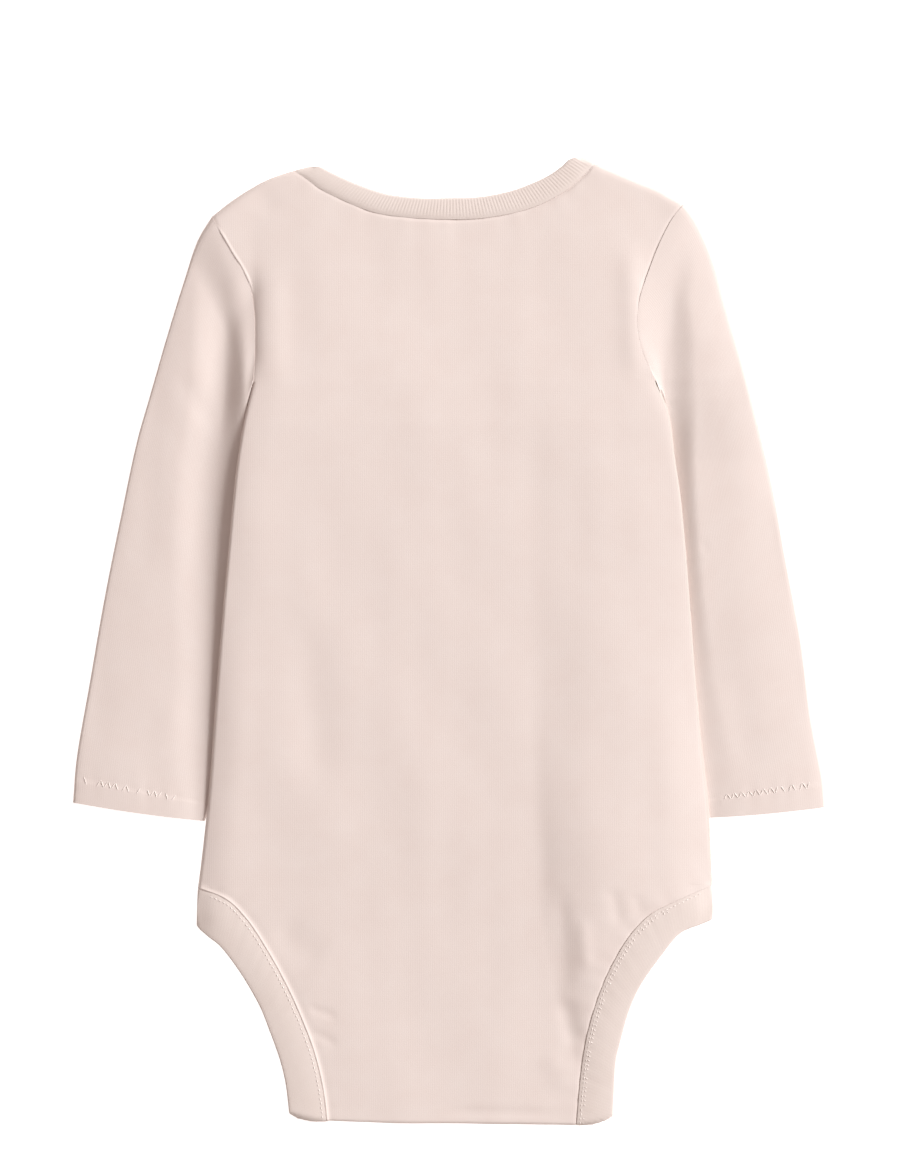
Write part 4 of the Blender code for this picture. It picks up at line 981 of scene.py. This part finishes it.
def makeSleeve(side):
    overarm, underarm = planCurve(overarmLine[side]), planCurve(underarmLine[side])
    hem = sleeve["hemDepth"]
    body = np.linspace(0.0, overarm["length"] - hem, int((overarm["length"] - hem) / sleeve["rowStep"]) + 1)
    tail = overarm["length"] - hem * (1 - np.array(sleeve["hemRows"]))
    rows = np.concatenate([sleeve["firstRows"], body[1:], tail])
    rows = np.unique(np.round(rows, 4))
    shares = rows / overarm["length"]
    outerFold = curveAt(overarm, rows)
    innerFold = curveAt(underarm, shares * underarm["length"])
    layers, reliefs, places = {}, {}, {}
    rings = (("top", armholeLine, backSurface), ("bottom", frontArmholeLine, frontSurface))
    for name, armhole, surface in rings:
        ring, ringNormals = armholeRing(side, armhole, surface)
        count = len(ring)
        merge = smooth(rows / sleeve["merge"])[:, None]
        width = np.linalg.norm(innerFold - outerFold, axis=-1)[:, None]
        parting = sleeve["foldParting"] if name == "top" else -sleeve["foldParting"]
        overFoldZ = np.maximum(sleeveTop(side, outerFold[:, 0], outerFold[:, 1], 0.0) / 2, sleeve["foldZ"])
        overZ = ring[0, 2] * (1 - merge) + (overFoldZ[:, None] + parting) * merge
        underZ = ring[-1, 2] * (1 - merge) + (sleeve["foldZ"] + parting) * merge
        rolls = 2 * len(cloth["rollSteps"])
        across = np.stack([spaced(w, count - rolls, sleeve["foldZ"], sleeve["foldZ"]) for w in width[:, 0]])
        plan = outerFold[:, None] + (innerFold - outerFold)[:, None] * (across / width)[..., None]
        keep = (np.maximum(1 - rows / sleeve["armholeFade"], 0.0) ** 2)[:, None, None]
        plan = plan + (ring[None, :, :2] - plan[:1]) * keep
        atCuff = smooth((rows - rows[-1] + hem) / hem)[:, None]
        x = plan[..., 0]
        y = plan[..., 1] - sleeve["cuffBow"] * np.sin(np.pi * across / width) * atCuff
        level = sleeveTop(side, x, y, across) if name == "top" else np.zeros_like(x)
        nearOver = across < width / 2
        edgeZ = np.where(nearOver, overZ, underZ)
        distance = np.where(nearOver, across, width - across)
        roll = np.maximum(tightRoll(np.abs(level - edgeZ)), sleeve["foldZ"])
        ownZ = edgeZ + (level - edgeZ) * arc(distance / roll)
        z = ring[None, :, 2] * (1 - merge) + ownZ * merge
        points = np.stack([x, y, z], axis=-1)
        points[0] = ring
        layers[name] = (points, ringNormals)
        fromCuff = (overarm["length"] - rows)[:, None] + np.zeros_like(x)
        fade = smooth(distance / 5.0) * smooth(rows / 6.0)[:, None]
        hemStep = (sleeve["hemRise"] * smooth((hem + 0.8 - fromCuff) / 1.6)
                   - sleeve["hemDip"] * bell(fromCuff - hem - 0.6, 0.9))
        if name == "top":
            soft = foldSum(sleeve["creases"][side], x, y) + unrest(x, y, sleeve["unrest"][side])
            gathers = puckers(x + 300.0, np.abs(fromCuff - hem), *sleeve["hemPuckers"])
            reliefs[name] = (soft + gathers) * fade + hemStep * smooth(distance / 1.5)
        else:
            reliefs[name] = -np.maximum(unrest(x, y, sleeve["unrest"][side]), 0.0) * fade
        places[name] = np.stack([across, rows[:, None] + np.zeros_like(x), np.full_like(x, 80.0)], axis=-1)
    top, topNormals = layers["top"]
    bottom, bottomNormals = layers["bottom"]
    outer = np.concatenate([top, bottom[:, ::-1]], axis=1)
    relief = np.concatenate([reliefs["top"], reliefs["bottom"][:, ::-1]], axis=1)
    place = np.concatenate([places["top"], places["bottom"][:, ::-1]], axis=1)
    along = np.gradient(outer, axis=0)
    around = np.roll(outer, -1, axis=1) - np.roll(outer, 1, axis=1)
    normal = np.cross(around, along)
    normal /= np.linalg.norm(normal, axis=-1)[..., None]
    if normal[len(rows) // 2, top.shape[1] // 2, 2] < 0:
        normal = -normal
    # beside the armhole the wall leans with the body, and stands level before it leans its own way
    ringNormals = np.concatenate([topNormals, bottomNormals[::-1]])[None]
    upward = np.zeros_like(normal)
    upward[:, :top.shape[1], 2] = 1.0
    upward[:, top.shape[1]:, 2] = -1.0
    own = smooth(rows / sleeve["leanRows"])[:, None, None]
    normal = ringNormals * (1 - own) ** 2 + normal * own ** 2 + upward * 6 * own * (1 - own)
    normal /= np.linalg.norm(normal, axis=-1)[..., None]
    wall = cloth["wall"] + (sleeve["hemWall"] - cloth["wall"]) * smooth((rows - rows[-1] + hem) / 1.0)
    inner = outer - normal * wall[:, None, None]
    shown = outer + normal * relief[..., None]
    sleeveFaces[side] = {"points": shown[:, :top.shape[1]], "fromCuff": rows[-1] - rows}
    name = "sleeveLeftCloth" if side == "left" else "sleeveRightCloth"
    return clothShell(name, shown, inner, interlockJersey, place, ring=True)


print("sleeves")
sleeveFaces = {}    # the upper face of each sleeve, for its hem stitches
sleeveLeftCloth = makeSleeve("left")
sleeveRightCloth = makeSleeve("right")


neckband = {
    "wall": 1.6,
    "proud": 0.25,
    "stations": 420,
    "ribPitch": 1.5,
    "ribHeight": 0.05,
    "swell": 0.25,          # how much fuller the band is halfway across
}
legBinding = {
    "wall": 1.5,
    "proud": 0.25,
    "rows": 190,
    "turnRows": 16,
    "flapRows": 20,
    "frontRows": 150,
    "swell": 0.3,
    "gathers": (4.0, 0.05, 7.0),    # pitch, height, reach
    "seeds": {"left": 51, "right": 53},
}


def bandSections(seam, edge, surface, wall, lift, relief):
    # closed sections of a folded band, from its seam out over its rounded edge and back
    width = np.linalg.norm(edge - seam, axis=-1)[:, None]
    outward = (edge - seam) / width
    shares = [cloth["sewnGap"] + 0.0 * width, 0.9 + 0.0 * width, 1.7 + 0.0 * width]
    shares += [1.7 + (width - wall / 2 - 1.7) * share for share in (0.2, 0.4, 0.6, 0.8, 0.92, 1.0)]
    shares = np.concatenate(shares, axis=1)
    plan = seam[:, None] + outward[:, None] * shares[..., None]
    outer, normal = surface(plan)
    outer = outer + normal * lift[:, None, None]
    inner = outer - normal * wall
    middle = (outer[:, -1] + inner[:, -1]) / 2
    reach = outer[:, -1] - outer[:, -2]
    reach /= np.linalg.norm(reach, axis=-1)[:, None]
    ends = []
    for angle in np.radians((22.5, 45.0, 67.5, 90.0, 112.5, 135.0, 157.5)):
        ends.append(middle + wall / 2 * (np.cos(angle) * normal[:, -1] + np.sin(angle) * reach))
    shown = outer + normal * relief(shares, width)[..., None]
    sections = np.concatenate([shown, np.stack(ends, axis=1), inner[:, ::-1]], axis=1)
    return sections, shares


def bandPlace(sections, along):
    around = np.concatenate([np.zeros((len(sections), 1)),
                             np.cumsum(np.linalg.norm(np.diff(sections, axis=1), axis=-1), axis=1)], axis=1)
    return np.stack([along[:, None] + 0.0 * around, around, np.full_like(around, 120.0)], axis=-1)


def makeNeckband():
    sections, places = [], []
    for layer, surface, lift in (("back", backSurface, neckband["proud"]), ("front", frontSurface, 0.0)):
        seam, edge = neckSeamCurve[layer], planCurve(neckEdgeLine[layer])
        count = neckband["stations"]
        seamAt = spaced(seam["length"], count, shoulderRadius, shoulderRadius)
        edgeAt = spaced(edge["length"], count, shoulderRadius, shoulderRadius)
        fromEnd = np.minimum(seamAt, seam["length"] - seamAt)
        lifts = lift * smooth(fromEnd / cloth["bandFade"])
        wave = np.cos(2 * np.pi * seamAt / neckband["ribPitch"])[:, None]

        def relief(shares, width):
            ribs = neckband["ribHeight"] * wave * smooth((shares - 0.9) / 1.4)
            dip = -0.25 * bell(shares, 0.9)
            swell = neckband["swell"] * np.sin(np.pi * np.clip(shares / width, 0, 1))
            if layer == "front":
                return -0.5 * neckband["ribHeight"] * (1 - wave) * smooth((shares - 0.9) / 1.4)
            return ribs + dip + swell * smooth(fromEnd / 8.0)[:, None]

        part, _ = bandSections(curveAt(seam, seamAt), curveAt(edge, edgeAt), surface,
                               neckband["wall"], lifts, relief)
        place = bandPlace(part, seamAt)
        sections.append(part if layer == "back" else part[::-1])
        places.append(place if layer == "back" else place[::-1])
    return bandShell("neckbandRib", np.concatenate(sections), ribJersey, np.concatenate(places), closed=True)


def makeLegBinding(side):
    backSeam, backEdge = legSeamCurve[side], planCurve(legEdgeLine[side])
    backAt = backLegSteps(backSeam, legBinding["rows"], legBinding["turnRows"], legBinding["flapRows"])
    lifts = legBinding["proud"] * smooth(backAt / cloth["bandFade"])

    def backRelief(shares, width):
        along = backAt[:, None] + 0.0 * shares
        gathers = puckers(along, shares, *legBinding["gathers"], legBinding["seeds"][side])
        dip = -0.1 * bell(shares, 0.7)
        swell = legBinding["swell"] * np.sin(np.pi * np.clip(shares / width, 0, 1))
        fade = smooth(backAt / 10.0)[:, None] * smooth((width - shares) / 2.0)
        return (gathers + swell) * fade + dip

    def frontRelief(shares, width):
        return -0.15 * np.abs(np.sin(0.9 * frontAt))[:, None] * bell(shares - 4.0, 3.0)

    back, _ = bandSections(curveAt(backSeam, backAt),
                           curveAt(backEdge, backAt / backAt[-1] * backEdge["length"]),
                           backSurface, legBinding["wall"], lifts, backRelief)
    frontSeam, frontEdge = planCurve(frontLegSeamLine[side]), planCurve(frontLegEdgeLine[side])
    frontAt = spaced(frontSeam["length"], legBinding["frontRows"], cloth["sideRoll"])
    front, _ = bandSections(curveAt(frontSeam, frontAt),
                            curveAt(frontEdge, frontAt / frontAt[-1] * frontEdge["length"]),
                            frontBandSurface, legBinding["wall"], np.zeros(len(frontAt)), frontRelief)
    sections = np.concatenate([back[::-1], front])
    places = np.concatenate([bandPlace(back, backAt)[::-1], bandPlace(front, -frontAt)])
    name = "legBindingLeftRib" if side == "left" else "legBindingRightRib"
    return bandShell(name, sections, ribJersey, places, closed=False)


print("neckband and leg bindings")
neckbandRib = makeNeckband()
legBindingLeftRib = makeLegBinding("left")
legBindingRightRib = makeLegBinding("right")


stitching = {
    "threadRadius": 0.16,
    "legStitch": 1.5,       # length of one stitch
    "legPitch": 2.0,
    "legAway": 1.6,         # from the seam, on the binding
    "looperAway": (2.4, 3.1),
    "looperPitch": 2.0,
    "legSeeds": {"left": 61, "right": 67},
    "hemSeeds": {"left": 71, "right": 73},
    "hemRow": 8.8,          # above the cuff's edge
    "hemHeight": 3.6,
    "hemPitch": 3.2,
    "hemLift": 0.16,
    "hemSink": 0.06,
    "hemShown": {   # from, to, share of the stitches that stand clear; millimetres from the overarm fold
        "left": ((6.0, 12.0, 0.5), (12.0, 20.0, 0.7), (20.0, 34.0, 0.5), (34.0, 46.0, 0.6)),
        "right": ((8.0, 22.0, 0.6), (22.0, 46.0, 1.0)),
    },
}


def onBinding(side, along, away):
    # a point of the binding's upper face with its normal
    seam, edge = legSeamCurve[side], planCurve(legEdgeLine[side])
    start = curveAt(seam, along)
    steps = backLegSteps(seam, legBinding["rows"], legBinding["turnRows"], legBinding["flapRows"])
    stop = curveAt(edge, along / steps[-1] * edge["length"])
    outward = (stop - start) / np.linalg.norm(stop - start, axis=-1)[:, None]
    points, normals = backSurface(start + outward * np.asarray(away)[..., None])
    width = np.linalg.norm(stop - start, axis=-1)
    lift = legBinding["proud"] * smooth(along / cloth["bandFade"])
    lift = lift + legBinding["swell"] * np.sin(np.pi * np.clip(away / width, 0, 1)) * smooth(along / 10.0)
    return points + normals * lift[:, None], normals


def makeLegStitches(side):
    dice = np.random.default_rng(stitching["legSeeds"][side])
    paths = []
    length = legSeamCurve[side]["length"] - 2.0
    for start in np.arange(6.0, length, stitching["legPitch"]):
        along = start + np.linspace(0, stitching["legStitch"], 5) * dice.uniform(0.85, 1.1)
        away = stitching["legAway"] + dice.uniform(-0.12, 0.12) + 0.0 * along
        points, normals = onBinding(side, along, away)
        sink = 0.10 * np.cos(np.linspace(-np.pi, np.pi, 5)) - 0.02
        paths.append((points + normals * sink[:, None], normals))
    if side == "right":
        near, far = stitching["looperAway"]
        for start in np.arange(22.0, length, stitching["looperPitch"]):
            if dice.random() < 0.25:
                continue
            turn = np.linspace(0, np.pi, 6)
            along = start + dice.uniform(-0.2, 0.2) + 0.45 * np.sin(turn)
            points, normals = onBinding(side, along, near + (far - near) * (0.5 - 0.5 * np.cos(turn)))
            paths.append((points + normals * 0.03, normals))
    name = "legStitchesLeft" if side == "left" else "legStitchesRight"
    return threadMesh(name, paths, stitching["threadRadius"], sewingThread)


def makeHemStitches(side):
    # short slanting stitches of the cover seam, some of them sunk out of sight
    dice = np.random.default_rng(stitching["hemSeeds"][side])
    points, fromCuff = sleeveFaces[side]["points"], sleeveFaces[side]["fromCuff"]
    hemAt = np.interp(stitching["hemRow"], fromCuff[::-1], np.arange(len(fromCuff))[::-1])
    steps = np.linalg.norm(np.diff(points[int(hemAt)], axis=0), axis=-1)
    across = np.concatenate([[0.0], np.cumsum(steps)])
    paths = []
    for start, stop, share in stitching["hemShown"][side]:
        for at in np.arange(start, stop, stitching["hemPitch"] / 2):
            if dice.random() > share:
                continue
            slant = stitching["hemPitch"] / 2 * (1 if len(paths) % 2 else -1)
            run = np.linspace(0, 1, 5)
            columnAt = np.interp(at + slant * (run - 0.5), across, np.arange(len(across)))
            rowAt = np.interp(stitching["hemRow"] + stitching["hemHeight"] * run, fromCuff[::-1],
                              np.arange(len(fromCuff))[::-1])
            low, left = np.floor(rowAt).astype(int), np.floor(columnAt).astype(int)
            down, over = (rowAt - low)[:, None], (columnAt - left)[:, None]
            near = points[low, left] * (1 - over) + points[low, left + 1] * over
            far = points[low + 1, left] * (1 - over) + points[low + 1, left + 1] * over
            line = near * (1 - down) + far * down
            line[:, 2] += stitching["hemLift"] * np.sin(np.pi * run) - stitching["hemSink"]
            paths.append((line, np.tile((0.0, 0.0, 1.0), (5, 1))))
    name = "hemStitchesLeft" if side == "left" else "hemStitchesRight"
    return threadMesh(name, paths, stitching["threadRadius"], sewingThread)


print("stitches")
hemStitchesLeft = makeHemStitches("left")
hemStitchesRight = makeHemStitches("right")
legStitchesLeft = makeLegStitches("left")
legStitchesRight = makeLegStitches("right")


snap = {
    "x": (-36.0, 1.5, 39.0),
    "y": -194.0,
    "profile": ((1.3, 0.32), (1.7, 0.12), (2.6, 0.10), (3.1, 0.22), (3.6, 0.02), (4.3, 0.0), (4.75, 0.1),
                (4.9, 0.28), (4.9, 0.42), (4.7, 0.6), (4.4, 0.7)),
    "sides": 64,
}


def makeSnap(name, x):
    angles = np.linspace(0, 2 * np.pi, snap["sides"], endpoint=False)
    rings = [np.stack([x + radius * np.cos(angles), snap["y"] + radius * np.sin(angles),
                       np.full(snap["sides"], height)], axis=-1) for radius, height in snap["profile"]]
    sections = np.stack(rings)
    return bandShell(name, sections, snapNickel, np.zeros_like(sections), closed=False)


print("snaps")
snapCaps = [makeSnap(f"snapCap{index + 1}", x) for index, x in enumerate(snap["x"])]


print("pieces onto the frame")
clothPieces = (
    (backPanelCloth, "back_panel", "jersey"),
    (frontPanelCloth, "front_panel", "jersey"),
    (sleeveLeftCloth, "sleeve_left", "jersey"),
    (sleeveRightCloth, "sleeve_right", "jersey"),
    (neckbandRib, "neckband", "rib"),
    (legBindingLeftRib, "leg_binding_left", "rib"),
    (legBindingRightRib, "leg_binding_right", "rib"),
)
for item, node, slotName in clothPieces:
    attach(item, "root")
    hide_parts(node)
for index, item in enumerate(snapCaps):
    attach(item, "root")
    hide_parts(f"snap_{index + 1}")
for item, slotName in ((legStitchesLeft, "rib"), (legStitchesRight, "rib"),
                       (hemStitchesLeft, "jersey"), (hemStitchesRight, "jersey")):
    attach(item, "root")


studio = {
    "floorTone": 0.92,
    "floorGlow": 0.70,      # the floor gives off light of its own, so it stays white
    "floorHalf": 3.0,
    "world": 0.38,
    "worldTone": (1.0, 0.82, 0.75),     # warms the shade
    "keyTurn": 25.0,        # degrees from +X towards +Y
    "keyRise": 29.0,        # degrees above the floor
    "keyDistance": 8.0,
    "keySize": 5.0,
    "keyPower": 1120.0,
    "fillPlace": (-0.6, -0.4, 2.6),
    "fillSize": 1.6,
    "fillPower": 4.0,
    "cameraHeight": 1.4247,
    "cameraX": 0.0002,
    "cameraY": 0.0229,
    "lens": 100.0,
    "sensor": 36.0,
}


def makeFloor():
    mesh = bpy.data.meshes.new("paleFloor")
    size = studio["floorHalf"]
    mesh.from_pydata([(-size, -size, 0.0), (size, -size, 0.0), (size, size, 0.0), (-size, size, 0.0)],
                     [], [(0, 1, 2, 3)])
    floor = bpy.data.objects.new("paleFloor", mesh)
    bpy.context.scene.collection.objects.link(floor)
    material = bpy.data.materials.new("paleFloor")
    material.use_nodes = True
    tree = material.node_tree
    shader = tree.nodes["Principled BSDF"]
    grain = addNode(tree, "ShaderNodeTexNoise", -600, 0)
    grain.inputs["Scale"].default_value = 60.0
    ramp = addNode(tree, "ShaderNodeValToRGB", -350, 0)
    tone = studio["floorTone"]
    ramp.color_ramp.elements[0].color = (tone, tone, tone, 1.0)
    ramp.color_ramp.elements[1].color = (tone + 0.01, tone + 0.01, tone + 0.01, 1.0)
    tree.links.new(grain.outputs["Fac"], ramp.inputs["Fac"])
    tree.links.new(ramp.outputs["Color"], shader.inputs["Base Color"])
    shader.inputs["Roughness"].default_value = 1.0
    shader.inputs["Specular IOR Level"].default_value = 0.0
    shader.inputs["Emission Color"].default_value = (1.0, 1.0, 1.0, 1.0)
    shader.inputs["Emission Strength"].default_value = studio["floorGlow"]
    mesh.materials.append(material)
    return floor


def addLight(name, place, size, power, target=(0.0, 0.0, 0.0)):
    data = bpy.data.lights.new(name, "AREA")
    data.shape = "SQUARE"
    data.size = size
    data.energy = power
    item = bpy.data.objects.new(name, data)
    item.location = place
    item.rotation_euler = (Vector(target) - Vector(place)).to_track_quat("-Z", "Y").to_euler()
    bpy.context.scene.collection.objects.link(item)
    return item


print("floor, light and camera")
makeFloor()
turn, rise = np.radians((studio["keyTurn"], studio["keyRise"]))
keyWay = np.array([np.cos(rise) * np.cos(turn), np.cos(rise) * np.sin(turn), np.sin(rise)])
keyPlace = studio["keyDistance"] * keyWay
addLight("keyLight", keyPlace, studio["keySize"], studio["keyPower"])
addLight("fillLight", studio["fillPlace"], studio["fillSize"], studio["fillPower"])
world = bpy.data.worlds.new("softRoom")
world.use_nodes = True
world.node_tree.nodes["Background"].inputs["Color"].default_value = (*studio["worldTone"], 1.0)
world.node_tree.nodes["Background"].inputs["Strength"].default_value = studio["world"]
bpy.context.scene.world = world
bpy.context.scene.view_settings.view_transform = "Standard"

cameraData = bpy.data.cameras.new("overheadCamera")
cameraData.sensor_fit = "VERTICAL"
cameraData.sensor_height = studio["sensor"]
cameraData.lens = studio["lens"]
cameraData.clip_end = 20.0
camera = bpy.data.objects.new("overheadCamera", cameraData)
camera.location = (studio["cameraX"], studio["cameraY"], studio["cameraHeight"])
camera.rotation_euler = (0.0, 0.0, 0.0)
bpy.context.scene.collection.objects.link(camera)
bpy.context.scene.camera = camera

print("scene built")
